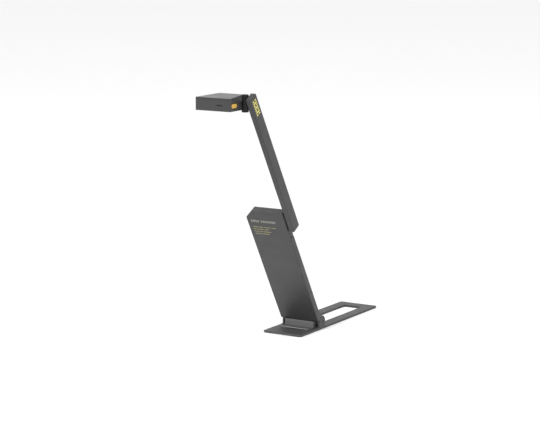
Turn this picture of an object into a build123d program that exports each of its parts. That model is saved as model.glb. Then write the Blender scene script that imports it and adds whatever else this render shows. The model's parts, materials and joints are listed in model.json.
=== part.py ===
"""Folding book scanner: a flat base, a leaning stand, a side arm and a level camera head.

Row frame: millimetres, +Z up, X across the base, -Y towards the page that is scanned. The origin is on
the underside of the base, midway across it, straight under the stand's hinge axis.

Three working frames are used. The base is drawn in the row frame. The stand and the arm are drawn upright,
with their origin on the stand's hinge axis, and are then leaned forward together. The head, its neck and its
button are drawn about the head's tilt axis, which the leaned arm carries.
"""

import os
from math import cos, radians, sin, sqrt

from build123d import *

# ---- base ----
BASE_WIDTH = 63.0
BASE_FRONT = 63.2  # hinge axis to the front edge
BASE_REAR = 168.8  # hinge axis to the rear edge
BASE_CORNER = 3.5
PLATE_THICK = 2.2
PLATE_EDGE = 0.4
PAD_THICK = 0.8
PAD_INSET = 0.6
WINDOW_WIDTH = 29.0
WINDOW_START = 14.0  # hinge axis to the window's near edge
WINDOW_REAR_BAR = 19.7
WINDOW_CORNER = 2.0

# ---- stand hinge ----
LEAN = 30.6  # forward lean of the stand and arm at rest, degrees
KNUCKLE_R = 8.3
KNUCKLE_CLEAR = 0.3  # the knuckles over the base plate
EAR_THICK = 3.0
EAR_EDGE = 0.6
CHEEK_THICK = 3.4
SIDE_GAP = 0.5  # each gap between an ear, a cheek and the hinge block
SWING_GAP = 0.5  # the panel round the fixed barrel, and over the block
BLOCK_PROUD = 3.5  # the block's front face in front of the panel's
BLOCK_RISE = 0.6  # the block's top over the hinge axis
BLOCK_ROUND = 1.2
BLOCK_END = 1.0  # rounding of the block's two ends
FOOT_REACH = 14.3  # the block's front face to the front of its foot
FOOT_THICK = 0.9
FOOT_BEVEL = 0.5
TENON_LENGTH = 10.0
TENON_THICK = 2.0
HINGE_PIN_R = 2.5
HINGE_PIN_IN = 8.5  # how far the pin is pressed into the block
PIN_RECESS = 0.3  # the pin's end under the ear's outer face
HINGE_DISC_R = 6.5
WASHER_SLACK = 0.05  # each face of a washer to the face beside it
BASE_SCREW_R = 1.5
BASE_SCREW_HEAD_R = 2.9
BASE_SCREW_SIDE = 10.0
BASE_SCREW_FRONT = 8.6
BASE_SCREW_BACK = 5.4
BASE_SCREW_LENGTH = 8.0

# ---- fits ----
FIXED_FIT = 0.01  # radial room round a pressed or threaded shank
RUN_FIT = 0.05  # radial room of a turning or sliding fit
SEAT_GAP = 0.1  # a cover inside its rim
HOLE_ROOM = 0.1  # radial room round a screw in a clearance hole

# ---- stand ----
PANEL_STANDOFF = 1.5  # the panel's front plane in front of the knuckles
PANEL_THICK = 9.4
STAND_TOP = 209.7  # hinge axis to the panel's top edge, along the panel
TOP_CHAMFER = 13.0
PANEL_ROUND = 1.5
PANEL_EDGE = 0.7
SHELL_WALL = 1.6
REAR_COVER_THICK = 1.6
BRACKET_THICK = 2.5
BRACKET_TOP = 36.0
BRACKET_BOTTOM = 10.5
PART_GAP = 0.1  # between parts that lie beside each other in a casing
STIFFENER_THICK = 1.2
STIFFENER_MARGIN = 1.5  # the control board to the stiffener
STIFFENER_IN = 9.5  # the panel's right side to the stiffener
STIFFENER_BOTTOM = 14.0
SLOT_LENGTH = 30.0
SLOT_WIDTH = 12.0
SLOT_COUNT = 3
STIFFENER_SCREW_R = 1.25
STIFFENER_SCREW_HEAD_R = 2.2
STIFFENER_SCREW_HEAD = 1.1
STIFFENER_SCREW_IN = 6.0
COVER_SCREW_R = 1.0
COVER_SCREW_HEAD_R = 1.9
COVER_SCREW_SINK = 0.9
COVER_BOSS_R = 2.4
COVER_BOSS_MARGIN = 1.5  # a side boss to the side wall
SCREW_END_GAP = 1.0  # a blind screw's tip to the skin before it
BOARD_THICK = 1.0
BOARD_WIDTH = 13.8
BOARD_MARGIN = 0.6  # the control board to the side wall and to the rear cover
BOARD_BOTTOM = 45.0
BOARD_TOP = 108.0
INLET_UP = 60.0
INLET_WIDTH = 8.9
INLET_THICK = 3.2
INLET_DEPTH = 7.3
INLET_SKIN = 0.3
INLET_TONGUE = 0.7
INLET_TONGUE_MARGIN = 1.2
INLET_TONGUE_SINK = 1.0
INLET_SINK = 0.3
RIBBON_THICK = 0.3
RIBBON_WIDTH = 4.5

# ---- elbow ----
ELBOW_UP = 181.5  # hinge axis to the elbow pivot, along the stand
ELBOW_SHIFT = -2.0  # elbow pivot from the hinge plane, negative to the front
HOUSING_WIDTH = 18.4
HOUSING_BOTTOM = 164.6
HOUSING_SEAM = 1.9  # open seam between the shell's side wall and the housing
BOSS_R = 6.2
ELBOW_SHAFT_R = 3.0
ELBOW_BORE_LENGTH = 7.5
ELBOW_CUP_R = 5.0
ELBOW_CAP_THICK = 1.5
ELBOW_DISC_R = 4.7
ELBOW_DISC_THICK = 0.5
ELBOW_DISC_PITCH = 0.6
ELBOW_DISC_COUNT = 3
ELBOW_NUT_FLATS = 7.6
ELBOW_NUT_THICK = 2.5
ELBOW_SHAFT_TIP = 1.8  # shaft past the nut
ELBOW_FLANGE_R = 4.5
ELBOW_WASHER_R = 5.6
TONGUE_LENGTH = 18.0

# ---- arm ----
ARM_GAP = 1.0  # stand's side to the arm
ARM_WIDTH = 7.6
ARM_HALF_DEPTH = 8.5
ARM_TAIL = 6.2  # elbow pivot to the arm's lower end
ARM_REACH = 215.0  # elbow pivot to the head's tilt axis
ARM_TIP = 6.9  # tilt axis to the arm's upper end
ARM_ROUND = 1.6
ARM_EDGE = 1.0
ARM_WALL = 1.4
ARM_FACE = 1.2
ARM_COVER_THICK = 1.15
ARM_COVER_SEAM = 0.05
SPINE_THICK = 1.2
SPINE_GAP = 1.3  # the spine to the arm's outer wall
SPINE_HALF = 5.0
SPINE_END = 8.0  # tilt axis to the spine's upper end
ARM_SCREW_Y = 2.5
ARM_SCREWS = 3
ARM_BOSS_R = 2.0
ARM_RIBBON_GAP = 0.5  # the arm's bosses to its flat lead

# ---- neck ----
TILT_SHAFT_R = 2.5
TILT_BUSH_R = 4.0
TILT_BUSH_INSIDE = 2.0
TILT_WASHER_R = 4.0
TILT_WASHER_THICK = 0.4
TILT_DISC_R = 3.9
TILT_DISC_THICK = 0.35
TILT_DISC_PITCH = 0.4
TILT_DISC_COUNT = 2
TILT_NUT_FLATS = 6.0
TILT_NUT_THICK = 1.8
BARREL_R = 4.8
BARREL_GAP = 0.8  # the barrel to the arm's inner face
BARREL_FORWARD = 2.2  # swivel axis in front of the tilt axis
BARREL_DROP = 15.4  # tilt axis to the barrel's lower end
EYE_HALF = 2.5
EYE_GAP = 0.5
SWIVEL_PIN_R = 1.5
SWIVEL_PIN_UP = 4.2
SWIVEL_PIN_SINK = 0.9  # the pin's lower end inside the barrel
SWIVEL_WASHER_R = 3.8
CAP_THICK = 5.4
CAP_ROUND = 0.8

# ---- head ----
HEAD_WIDTH = 55.4
BARREL_BITE = 1.9  # how far the barrel is let into the head's side
HEAD_FRONT = 34.9  # tilt axis to the front face
HEAD_BACK = 24.4
HEAD_BELOW = 12.6
HEAD_ABOVE = 5.1
HEAD_CORNER = 1.2
HEAD_EDGE = 0.5
HEAD_WALL = 1.6
HEAD_SPLIT = 2.3  # the seam between the two covers, over the tilt axis
FACET_IN = 12.0  # how far the top facet has run in from the side at FACET_AT
FACET_AT = 44.7  # from the front face
FACET_DOWN = 10.2  # how far it has run down the side at FACET_SIDE_AT
FACET_SIDE_AT = 36.7
LIP_THICK = 0.9
LIP_DROP = 1.0
BARREL_ROOM = 0.35  # the head's side round the barrel
WEB_HALF = 3.6
WEB_TOP = -6.0
LUG_GAP = 0.65  # the head's side round the barrel to the lug's plate
LUG_PLATE = 1.6
LUG_PLATE_HALF = 11.0
LUG_PLATE_TOP = -1.0
LENS_Y = -12.0
WINDOW_R = 8.0
WINDOW_GLASS = 0.8
WINDOW_SINK = 0.2
LENS_R = 5.0
LENS_LENGTH = 8.0
LENS_ROOM = 0.6
LENS_DISH_R = 6.0
HOLDER_SIDE = 17.0
HOLDER_TOP = -1.5
HOLDER_HEIGHT = 6.5
SENSOR_SIDE = 28.0
SENSOR_THICK = 1.2
LED_SIDE = 16.7  # the lens to the lamp
LED_R = 3.2
LED_BOARD_SIDE = 10.0
MIC_SIDE = 10.7  # the head's middle to the microphone
MIC_Z = -4.7
MIC_LENGTH = 9.0
MIC_HEIGHT = 1.2
MIC_MESH_THICK = 0.4
MIC_MESH_MARGIN = 1.2
BUTTON_Y = -25.2
BUTTON_Z = -5.3
BUTTON_LENGTH = 13.0
BUTTON_HEIGHT = 5.8
BUTTON_PROUD = 0.5
BUTTON_TRAVEL = 0.8
BUTTON_FLANGE = 0.9
BUTTON_LIP = 0.7
BUTTON_DOME = 0.5
BEZEL_RIM = 1.4
BEZEL_SINK = 0.3
BEZEL_INSIDE = 0.8
SWITCH_SIDE = 6.0
SWITCH_DEPTH = 3.0
SWITCH_PLUNGER_R = 1.7
SWITCH_PLUNGER = 0.9
SWITCH_BOARD_HALF = 7.0
SWITCH_BOARD_THICK = 1.0
HEAD_SCREW_INSET = 4.6
HEAD_SCREW_SIDE = 16.0  # the head's right side to its nearer screws
HEAD_SCREW_END = 0.6
HEAD_SCREW_R = 1.0
HEAD_SCREW_HEAD_R = 1.9
HEAD_BOSS_R = 2.4
HEAD_POST_R = 2.0
BIG = 400.0

# ---- worked out from the sizes above ----
HALF = BASE_WIDTH / 2
BASE_TOP = PAD_THICK + PLATE_THICK
HINGE_HEIGHT = BASE_TOP + KNUCKLE_R + KNUCKLE_CLEAR
PANEL_FRONT = KNUCKLE_R + PANEL_STANDOFF
BLOCK_FRONT = PANEL_FRONT + BLOCK_PROUD
FOOT_FRONT = BLOCK_FRONT + FOOT_REACH
EAR_IN = HALF - EAR_THICK
CHEEK_OUT = EAR_IN - SIDE_GAP
CHEEK_IN = CHEEK_OUT - CHEEK_THICK
BLOCK_HALF = CHEEK_IN - SIDE_GAP
BLOCK_TOP = HINGE_HEIGHT + BLOCK_RISE
SWEEP_R = KNUCKLE_R + SWING_GAP
FRONT = -PANEL_FRONT
BACK = PANEL_THICK - PANEL_FRONT
SKIN = FRONT + SHELL_WALL
COVER_IN = BACK - REAR_COVER_THICK
PANEL_BOTTOM = (BLOCK_RISE + SWING_GAP + PANEL_FRONT * sin(radians(LEAN))) / cos(radians(LEAN))
INNER_HALF = HALF - SHELL_WALL
BRACKET_FRONT = SKIN + PART_GAP
BRACKET_BACK = BRACKET_FRONT + BRACKET_THICK
STIFFENER_FRONT = BRACKET_BACK + PART_GAP
STIFFENER_BACK = STIFFENER_FRONT + STIFFENER_THICK
BOARD_LEFT = -INNER_HALF + BOARD_MARGIN
BOARD_RIGHT = BOARD_LEFT + BOARD_WIDTH
STIFFENER_LEFT = BOARD_RIGHT + STIFFENER_MARGIN
STIFFENER_RIGHT = HALF - STIFFENER_IN
BOARD_BACK = COVER_IN - BOARD_MARGIN
BOARD_FRONT = BOARD_BACK - BOARD_THICK
INLET_Y = BOARD_FRONT - INLET_THICK / 2
HOUSING_LEFT = HALF - HOUSING_WIDTH
SHELL_SEAM = HOUSING_BOTTOM - HOUSING_SEAM
CUP_END = HALF - ELBOW_BORE_LENGTH
ARM_IN = HALF + ARM_GAP
ARM_OUT = ARM_IN + ARM_WIDTH
ARM_SPLIT = ARM_IN + ARM_COVER_THICK
ARM_SHELL_IN = ARM_SPLIT + ARM_COVER_SEAM
ARM_FACE_IN = ARM_OUT - ARM_FACE
ARM_BOTTOM = ELBOW_UP - ARM_TAIL
TILT_UP = ELBOW_UP + ARM_REACH
ARM_TOP = TILT_UP + ARM_TIP
SPINE_OUT = ARM_FACE_IN - SPINE_GAP
SPINE_IN = SPINE_OUT - SPINE_THICK
TILT_Y = -TILT_UP * sin(radians(LEAN))
TILT_Z = HINGE_HEIGHT + TILT_UP * cos(radians(LEAN))
BARREL_X = ARM_IN - BARREL_GAP - BARREL_R
BARREL_TOP = -EYE_HALF - EYE_GAP
CAP_BOTTOM = EYE_HALF + EYE_GAP
BUSH_TIP = ARM_SHELL_IN + TILT_BUSH_INSIDE
SWIVEL_PIN_DOWN = BARREL_DROP - SWIVEL_PIN_SINK
HEAD_RIGHT = BARREL_X - BARREL_R + BARREL_BITE
HEAD_LEFT = HEAD_RIGHT - HEAD_WIDTH
HEAD_MIDDLE = (HEAD_LEFT + HEAD_RIGHT) / 2
HEAD_SCREW_RIGHT = HEAD_RIGHT - HEAD_SCREW_SIDE
LENS_X = HEAD_MIDDLE
LED_X = LENS_X + LED_SIDE
MIC_X = HEAD_MIDDLE + MIC_SIDE
LUG_PLATE_OUT = BARREL_X - BARREL_R - BARREL_ROOM - HEAD_WALL / 2 - LUG_GAP
HEAD_FLOOR = -HEAD_BELOW + HEAD_WALL
HEAD_CEILING = HEAD_ABOVE - HEAD_WALL
HEAD_SIDE_IN = HEAD_RIGHT - HEAD_WALL
BEZEL_FACE = HEAD_RIGHT - BEZEL_SINK
BEZEL_BACK = HEAD_SIDE_IN - BEZEL_INSIDE
FLANGE_FACE = BEZEL_BACK - PART_GAP
FLANGE_BACK = FLANGE_FACE - BUTTON_FLANGE
PLUNGER_TIP = FLANGE_BACK - BUTTON_TRAVEL - PART_GAP
SWITCH_FACE = PLUNGER_TIP - SWITCH_PLUNGER
SWITCH_BACK = SWITCH_FACE - SWITCH_DEPTH

LEANED = Pos(0, 0, HINGE_HEIGHT) * Rot(LEAN, 0, 0)
AT_HEAD = Pos(0, TILT_Y, TILT_Z)
SIDES = {"right": 1, "left": -1}


# ---- small shape helpers ----
def bar(x, y, z):
    """Box between pairs of limits."""
    centre = [(low + high) / 2 for low, high in (x, y, z)]
    return Pos(*centre) * Box(x[1] - x[0], y[1] - y[0], z[1] - z[0])


def rod_x(radius, x, y=0.0, z=0.0):
    """Cylinder along X between a pair of limits."""
    return Pos((x[0] + x[1]) / 2, y, z) * Rot(0, 90, 0) * Cylinder(radius, x[1] - x[0])


def rod_y(radius, x, y, z):
    """Cylinder along Y between a pair of limits."""
    return Pos(x, (y[0] + y[1]) / 2, z) * Rot(90, 0, 0) * Cylinder(radius, y[1] - y[0])


def rod_z(radius, x, y, z):
    """Cylinder along Z between a pair of limits."""
    return Pos(x, y, (z[0] + z[1]) / 2) * Cylinder(radius, z[1] - z[0])


def ring_x(outer, inner, x, y=0.0, z=0.0):
    """Flat ring round an axis along X."""
    return rod_x(outer, x, y, z) - rod_x(inner, x, y, z)


def slab_xz(face, y):
    """Outline drawn in X and Z, given thickness along Y."""
    return extrude(Plane.XZ.offset(-y[1]) * face, y[1] - y[0])


def slab_yz(face, x):
    """Outline drawn in Y and Z, given thickness along X."""
    return extrude(Plane.YZ.offset(x[0]) * face, x[1] - x[0])


def slab_xy(face, z):
    """Outline drawn in X and Y, given thickness along Z."""
    return extrude(Plane.XY.offset(z[0]) * face, z[1] - z[0])


def inset(face, amount):
    """Outline moved inwards, its corners kept sharp where they were."""
    return offset(face, -amount, kind=Kind.INTERSECTION)


def pill(x, y, z, length, height):
    """Stadium with its length along Y, given thickness along X."""
    return Pos(0, y, z) * slab_yz(SlotOverall(length, height), x)


def screw(start, way, length, radius, head_radius, head):
    """Countersunk screw from a start point along a unit way, its cone as long as head."""
    frame = Plane(origin=start, z_dir=way)
    cone = Pos(0, 0, head / 2) * Cone(head_radius, radius, head)
    shank = Pos(0, 0, length / 2) * Cylinder(radius, length)
    return frame * (cone + shank)


def hex_nut(flats, bore, x, y, z):
    """Hexagon nut round an axis along X."""
    outline = RegularPolygon(flats / sqrt(3), 6)
    return Pos(0, y, z) * slab_yz(outline, x) - rod_x(bore, x, y, z)


def washer_span(low, high):
    """Limits of a washer that leaves its slack at both faces."""
    return low + WASHER_SLACK, high - WASHER_SLACK


# ---- base ----
def base_outline(shrink=0.0):
    """Outline of the base, with its window, moved inwards by shrink."""
    width = BASE_WIDTH - 2 * shrink
    length = BASE_FRONT + BASE_REAR - 2 * shrink
    middle = (BASE_REAR - BASE_FRONT) / 2
    outer = Pos(0, middle) * RectangleRounded(width, length, BASE_CORNER - shrink)
    near, far = WINDOW_START, BASE_REAR - WINDOW_REAR_BAR
    wide, deep = WINDOW_WIDTH + 2 * shrink, far - near + 2 * shrink
    window = Pos(0, (near + far) / 2) * RectangleRounded(wide, deep, WINDOW_CORNER + shrink)
    return outer - window


def base_screw_places():
    """Where the four screws of the hinge block stand."""
    sides = (-BASE_SCREW_SIDE, BASE_SCREW_SIDE)
    return [(x, y) for x in sides for y in (-BASE_SCREW_FRONT, BASE_SCREW_BACK)]


def base_screw(x, y, room=0.0):
    """One screw up into the hinge block, or its hole when given room."""
    head = PLATE_THICK - PAD_THICK
    sizes = (BASE_SCREW_LENGTH, BASE_SCREW_R + room, BASE_SCREW_HEAD_R + room, head)
    return screw((x, y, PAD_THICK), (0, 0, 1), *sizes)


def tenon(side, room=0.0):
    """Tenon under an ear, or its slot when given room."""
    inner, outer = EAR_IN - room, EAR_IN + TENON_THICK + room
    x = (inner, outer) if side > 0 else (-outer, -inner)
    reach = TENON_LENGTH / 2 + room
    return bar(x, (-reach, reach), (PAD_THICK, BASE_TOP))


def base_plate():
    plate = slab_xy(base_outline(), (PAD_THICK, BASE_TOP))
    plate = fillet(plate.faces().sort_by(Axis.Z)[-1].edges(), PLATE_EDGE)
    for place in base_screw_places():
        plate -= base_screw(*place, room=HOLE_ROOM)
    for side in SIDES.values():
        plate -= tenon(side, room=FIXED_FIT)
    return plate


def base_grip_pad():
    return slab_xy(base_outline(PAD_INSET), (0, PAD_THICK))


def is_block_end(edge):
    """Whether an edge runs round an end of the block's upright front."""
    centre = edge.center()
    at_end = abs(abs(centre.X) - BLOCK_HALF) < FIXED_FIT
    return at_end and centre.Y < -KNUCKLE_R and centre.Z > BASE_TOP + FOOT_THICK + BLOCK_END


def hinge_block():
    """Fixed centre block: a foot on the plate, an upright front and a barrel round the hinge axis."""
    low, top = BASE_TOP, BLOCK_TOP
    outline = make_face(Polyline(
        (-FOOT_FRONT, low),
        (-FOOT_FRONT, low + FOOT_THICK - FOOT_BEVEL),
        (-FOOT_FRONT + FOOT_BEVEL, low + FOOT_THICK),
        (-BLOCK_FRONT, low + FOOT_THICK),
        (-BLOCK_FRONT, top),
        (0, top),
        (0, HINGE_HEIGHT),
        (KNUCKLE_R, HINGE_HEIGHT),
        (KNUCKLE_R, low),
        close=True,
    ))
    corner = outline.vertices().sort_by_distance((-BLOCK_FRONT, top, 0))[0]
    outline = fillet(corner, BLOCK_ROUND)
    outline += Pos(0, HINGE_HEIGHT) * Circle(KNUCKLE_R)
    block = slab_yz(outline, (-BLOCK_HALF, BLOCK_HALF))
    block = fillet(block.edges().filter_by(is_block_end), BLOCK_END)
    block -= bar((-BIG, BIG), (-BIG, BIG), (0, low))
    for place in base_screw_places():
        block -= base_screw(*place, room=FIXED_FIT)
    for side in SIDES.values():
        block -= hinge_pin(side, room=FIXED_FIT)
    return block


def hinge_ear(side):
    """Fixed ear at one side of the base, round over the hinge axis, with a tenon down into the plate."""
    outline = Pos(0, HINGE_HEIGHT) * Circle(KNUCKLE_R)
    foot_height = HINGE_HEIGHT - BASE_TOP
    outline += Pos(0, BASE_TOP + foot_height / 2) * Rectangle(2 * KNUCKLE_R, foot_height)
    x = (EAR_IN, HALF) if side > 0 else (-HALF, -EAR_IN)
    ear = slab_yz(outline, x) & bar((-BIG, BIG), (-BIG, BIG), (BASE_TOP, BIG))
    outer = ear.faces().sort_by(Axis.X)[-1 if side > 0 else 0]
    rims = outer.edges().filter_by(lambda edge: edge.center().Z > BASE_TOP + EAR_EDGE)
    ear = fillet(rims, EAR_EDGE)
    return ear + tenon(side) - rod_x(HINGE_PIN_R + FIXED_FIT, x, 0, HINGE_HEIGHT)


def hinge_pin(side, room=0.0):
    """Pin from an ear, through a cheek, into the block."""
    inner, outer = BLOCK_HALF - HINGE_PIN_IN - room, HALF - PIN_RECESS
    x = (inner, outer) if side > 0 else (-outer, -inner)
    return rod_x(HINGE_PIN_R + room, x, 0, HINGE_HEIGHT)


def hinge_washers(low, high):
    """A thin washer in the same gap at each side of the base."""
    inner, outer = washer_span(low, high)
    hole = HINGE_PIN_R + FIXED_FIT
    right = ring_x(HINGE_DISC_R, hole, (inner, outer), 0, HINGE_HEIGHT)
    return right + mirror(right, Plane.YZ)


def base_screws():
    return Part() + [base_screw(*place) for place in base_screw_places()]


# ---- stand, drawn upright about the hinge axis ----
def panel_outline():
    """The panel seen from the front: a tall rectangle with its upper left corner cut off."""
    face = make_face(Polyline(
        (-HALF, PANEL_BOTTOM),
        (HALF, PANEL_BOTTOM),
        (HALF, STAND_TOP),
        (-HALF + TOP_CHAMFER, STAND_TOP),
        (-HALF, STAND_TOP - TOP_CHAMFER),
        close=True,
    ))
    upper = face.vertices().sort_by(Axis.Y)[2:]
    return fillet(upper, PANEL_ROUND)


def sweep_room():
    """Room round the hinge axis for the fixed barrel and the ears."""
    return rod_x(SWEEP_R, (-BIG, BIG))


def cheek_bars(room=0.0):
    """Straight part of both cheeks, from the hinge axis up into the panel."""
    y = (BRACKET_FRONT - room, COVER_IN - PART_GAP + room)
    x = (CHEEK_IN - room, CHEEK_OUT + room)
    right = bar(x, y, (0, BRACKET_TOP + room))
    return right + mirror(right, Plane.YZ)


def housing_corner(room=0.0):
    """Space of the elbow housing at the panel's upper right corner, behind its front skin."""
    low = (SHELL_SEAM if room else HOUSING_BOTTOM)
    return bar((HOUSING_LEFT - room, BIG), (SKIN, BIG), (low, BIG))


def cover_screw_places():
    """Where the rear cover's screws stand: X, and height along the panel."""
    gap = COVER_BOSS_R + PART_GAP
    side = INNER_HALF - COVER_BOSS_R - COVER_BOSS_MARGIN
    low = BRACKET_TOP + gap + PART_GAP
    top = STAND_TOP - TOP_CHAMFER
    middle = [(-side, BOARD_TOP + 2 * gap), (side, SHELL_SEAM - 2 * gap)]
    return [(-side, low), (side, low), *middle, (-side, top)]


def cover_screw(x, z, room=0.0):
    """One screw from the rear cover into a boss of the front shell, or its hole."""
    length = BACK - SKIN - SCREW_END_GAP
    sizes = (length, COVER_SCREW_R + room, COVER_SCREW_HEAD_R + room, COVER_SCREW_SINK)
    return screw((x, BACK, z), (0, -1, 0), *sizes)


def inlet_outline(grow=0.0):
    """Rounded end view of the signal inlet, its width up the panel."""
    slot = SlotOverall(INLET_WIDTH + 2 * grow, INLET_THICK + 2 * grow)
    return Pos(INLET_Y, INLET_UP) * Rot(0, 0, 90) * slot


def stand_front_shell():
    """Front skin, side walls, top wall and screw bosses of the stand."""
    shell = slab_xz(panel_outline(), (FRONT, BACK))
    front = shell.faces().sort_by(Axis.Y)[0]
    shell = fillet(front.edges(), PANEL_EDGE)
    shell -= slab_xz(inset(panel_outline(), SHELL_WALL), (SKIN, BACK))
    for x, z in cover_screw_places():
        shell += rod_y(COVER_BOSS_R, x, (SKIN, COVER_IN), z)
        shell -= cover_screw(x, z, FIXED_FIT)
    shell -= sweep_room()
    shell -= cheek_bars(PART_GAP)
    shell -= housing_corner(PART_GAP)
    return shell - slab_yz(inlet_outline(RUN_FIT), (-HALF, -INNER_HALF))


def stand_rear_cover():
    """Flat cover let in behind the stand's side walls."""
    cover = slab_xz(inset(panel_outline(), SHELL_WALL + SEAT_GAP), (COVER_IN, BACK))
    cover -= sweep_room()
    cover -= housing_corner(PART_GAP)
    for x, z in cover_screw_places():
        cover -= cover_screw(x, z, HOLE_ROOM)
    return cover


def stiffener_screw_places():
    """Where the stiffener is screwed down: two at the hinge bracket, two at the elbow housing."""
    low = (BRACKET_TOP + STIFFENER_BOTTOM) / 2
    tongue = (HOUSING_LEFT + STIFFENER_RIGHT) / 2
    high = HOUSING_BOTTOM - TONGUE_LENGTH
    step = TONGUE_LENGTH / 4
    left, right = STIFFENER_LEFT + STIFFENER_SCREW_IN, STIFFENER_RIGHT - STIFFENER_SCREW_IN
    return [(left, low), (right, low), (tongue, high + step), (tongue, high + 3 * step)]


def stiffener_screw(x, z, room=0.0):
    """Pan-headed screw through the stiffener, from behind, or its hole."""
    head = (STIFFENER_BACK, STIFFENER_BACK + STIFFENER_SCREW_HEAD)
    shank = (BRACKET_FRONT, STIFFENER_BACK)
    return rod_y(STIFFENER_SCREW_R + room, x, shank, z) + rod_y(STIFFENER_SCREW_HEAD_R, x, head, z)


def stand_hinge_bracket():
    """Casting that holds the panel on the hinge pins: two cheeks joined by a plate."""
    plate_y = (BRACKET_FRONT, BRACKET_BACK)
    bracket = bar((-CHEEK_OUT, CHEEK_OUT), plate_y, (BRACKET_BOTTOM, BRACKET_TOP)) + cheek_bars()
    for x in ((CHEEK_IN, CHEEK_OUT), (-CHEEK_OUT, -CHEEK_IN)):
        bracket += rod_x(KNUCKLE_R, x)
    for x, z in stiffener_screw_places()[:2]:
        bracket -= stiffener_screw(x, z, FIXED_FIT)
    return bracket - rod_x(HINGE_PIN_R + RUN_FIT, (-BIG, BIG))


def stand_stiffener():
    """Slotted steel strip from the hinge bracket to the elbow housing."""
    y = (STIFFENER_FRONT, STIFFENER_BACK)
    top = HOUSING_BOTTOM - PART_GAP
    strip = bar((STIFFENER_LEFT, STIFFENER_RIGHT), y, (STIFFENER_BOTTOM, top))
    pitch = SLOT_LENGTH + SLOT_WIDTH / 2
    middle = (STIFFENER_LEFT + STIFFENER_RIGHT) / 2
    centre = (BRACKET_TOP + HOUSING_BOTTOM - TONGUE_LENGTH) / 2
    for index in range(SLOT_COUNT):
        up = centre + (index - (SLOT_COUNT - 1) / 2) * pitch
        slot = Pos(middle, up) * Rot(0, 0, 90) * SlotOverall(SLOT_LENGTH, SLOT_WIDTH)
        strip -= slab_xz(slot, y)
    for x, z in stiffener_screw_places():
        strip -= stiffener_screw(x, z, HOLE_ROOM)
    return strip


def stiffener_screws():
    return Part() + [stiffener_screw(x, z) for x, z in stiffener_screw_places()]


def control_board():
    return bar((BOARD_LEFT, BOARD_RIGHT), (BOARD_FRONT, BOARD_BACK), (BOARD_BOTTOM, BOARD_TOP))


def signal_inlet():
    """Socket for the signal lead in the stand's left side: a thin sleeve with a tongue inside."""
    x = (-HALF + INLET_SINK, -HALF + INLET_SINK + INLET_DEPTH)
    sleeve = slab_yz(inlet_outline(), x)
    sleeve -= slab_yz(inset(inlet_outline(), INLET_SKIN), (x[0], x[1] - INLET_SKIN))
    half, wide = INLET_TONGUE / 2, INLET_WIDTH / 2 - INLET_TONGUE_MARGIN
    tongue_x = (x[0] + INLET_TONGUE_SINK, x[1] - INLET_SKIN)
    return sleeve + bar(tongue_x, (INLET_Y - half, INLET_Y + half), (INLET_UP - wide, INLET_UP + wide))


def stand_ribbon():
    """Flat lead from the control board to the elbow."""
    left, right = BOARD_RIGHT - RIBBON_WIDTH, HOUSING_LEFT - PART_GAP
    low, high = BOARD_TOP - RIBBON_WIDTH, HOUSING_BOTTOM + RIBBON_WIDTH
    inner = right - RIBBON_WIDTH
    face = make_face(Polyline(
        (left, low), (right, low), (right, high), (inner, high), (inner, low + RIBBON_WIDTH),
        (left, low + RIBBON_WIDTH), close=True,
    ))
    return slab_xz(face, (BOARD_BACK, BOARD_BACK + RIBBON_THICK))


def cover_screws():
    return Part() + [cover_screw(x, z) for x, z in cover_screw_places()]


# ---- elbow ----
def elbow_rod(radius, x):
    """Cylinder on the elbow axis."""
    return rod_x(radius, x, ELBOW_SHIFT, ELBOW_UP)


def elbow_ring(outer, inner, x):
    """Ring on the elbow axis."""
    return ring_x(outer, inner, x, ELBOW_SHIFT, ELBOW_UP)


def elbow_housing():
    """Casting at the panel's upper right corner, with a round boss for the elbow shaft."""
    housing = slab_xz(panel_outline(), (SKIN, BACK)) & housing_corner()
    housing += elbow_rod(BOSS_R, (HOUSING_LEFT, HALF))
    tongue_x = (HOUSING_LEFT, STIFFENER_RIGHT)
    tongue_z = (HOUSING_BOTTOM - TONGUE_LENGTH, HOUSING_BOTTOM)
    housing += bar(tongue_x, (BRACKET_FRONT, BRACKET_BACK), tongue_z)
    for x, z in stiffener_screw_places()[2:]:
        housing -= stiffener_screw(x, z, FIXED_FIT)
    housing -= elbow_rod(ELBOW_SHAFT_R + RUN_FIT, (CUP_END, HALF))
    return housing - elbow_rod(ELBOW_CUP_R, (HOUSING_LEFT, CUP_END))


def elbow_cap():
    return elbow_rod(ELBOW_CUP_R - FIXED_FIT, (HOUSING_LEFT, HOUSING_LEFT + ELBOW_CAP_THICK))


def elbow_washer():
    return elbow_ring(ELBOW_WASHER_R, ELBOW_SHAFT_R + RUN_FIT, washer_span(HALF, ARM_IN))


def elbow_disc_x(index):
    """Limits of one disc spring, counted from the bottom of the housing's cup."""
    right = CUP_END - WASHER_SLACK - index * ELBOW_DISC_PITCH
    return right - ELBOW_DISC_THICK, right


def elbow_disc_springs():
    hole = ELBOW_SHAFT_R + FIXED_FIT
    return Part() + [elbow_ring(ELBOW_DISC_R, hole, elbow_disc_x(i)) for i in range(ELBOW_DISC_COUNT)]


def elbow_nut_x():
    """Limits of the nut, against the last disc spring."""
    right = elbow_disc_x(ELBOW_DISC_COUNT - 1)[0]
    return right - ELBOW_NUT_THICK, right


def elbow_nut():
    return hex_nut(ELBOW_NUT_FLATS, ELBOW_SHAFT_R + FIXED_FIT, elbow_nut_x(), ELBOW_SHIFT, ELBOW_UP)


def elbow_shaft():
    """Shaft riveted to the arm's spine, turning in the elbow housing."""
    shaft = elbow_rod(ELBOW_SHAFT_R, (elbow_nut_x()[0] - ELBOW_SHAFT_TIP, SPINE_IN))
    return shaft + elbow_rod(ELBOW_FLANGE_R, (ARM_SHELL_IN, SPINE_IN))


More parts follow.
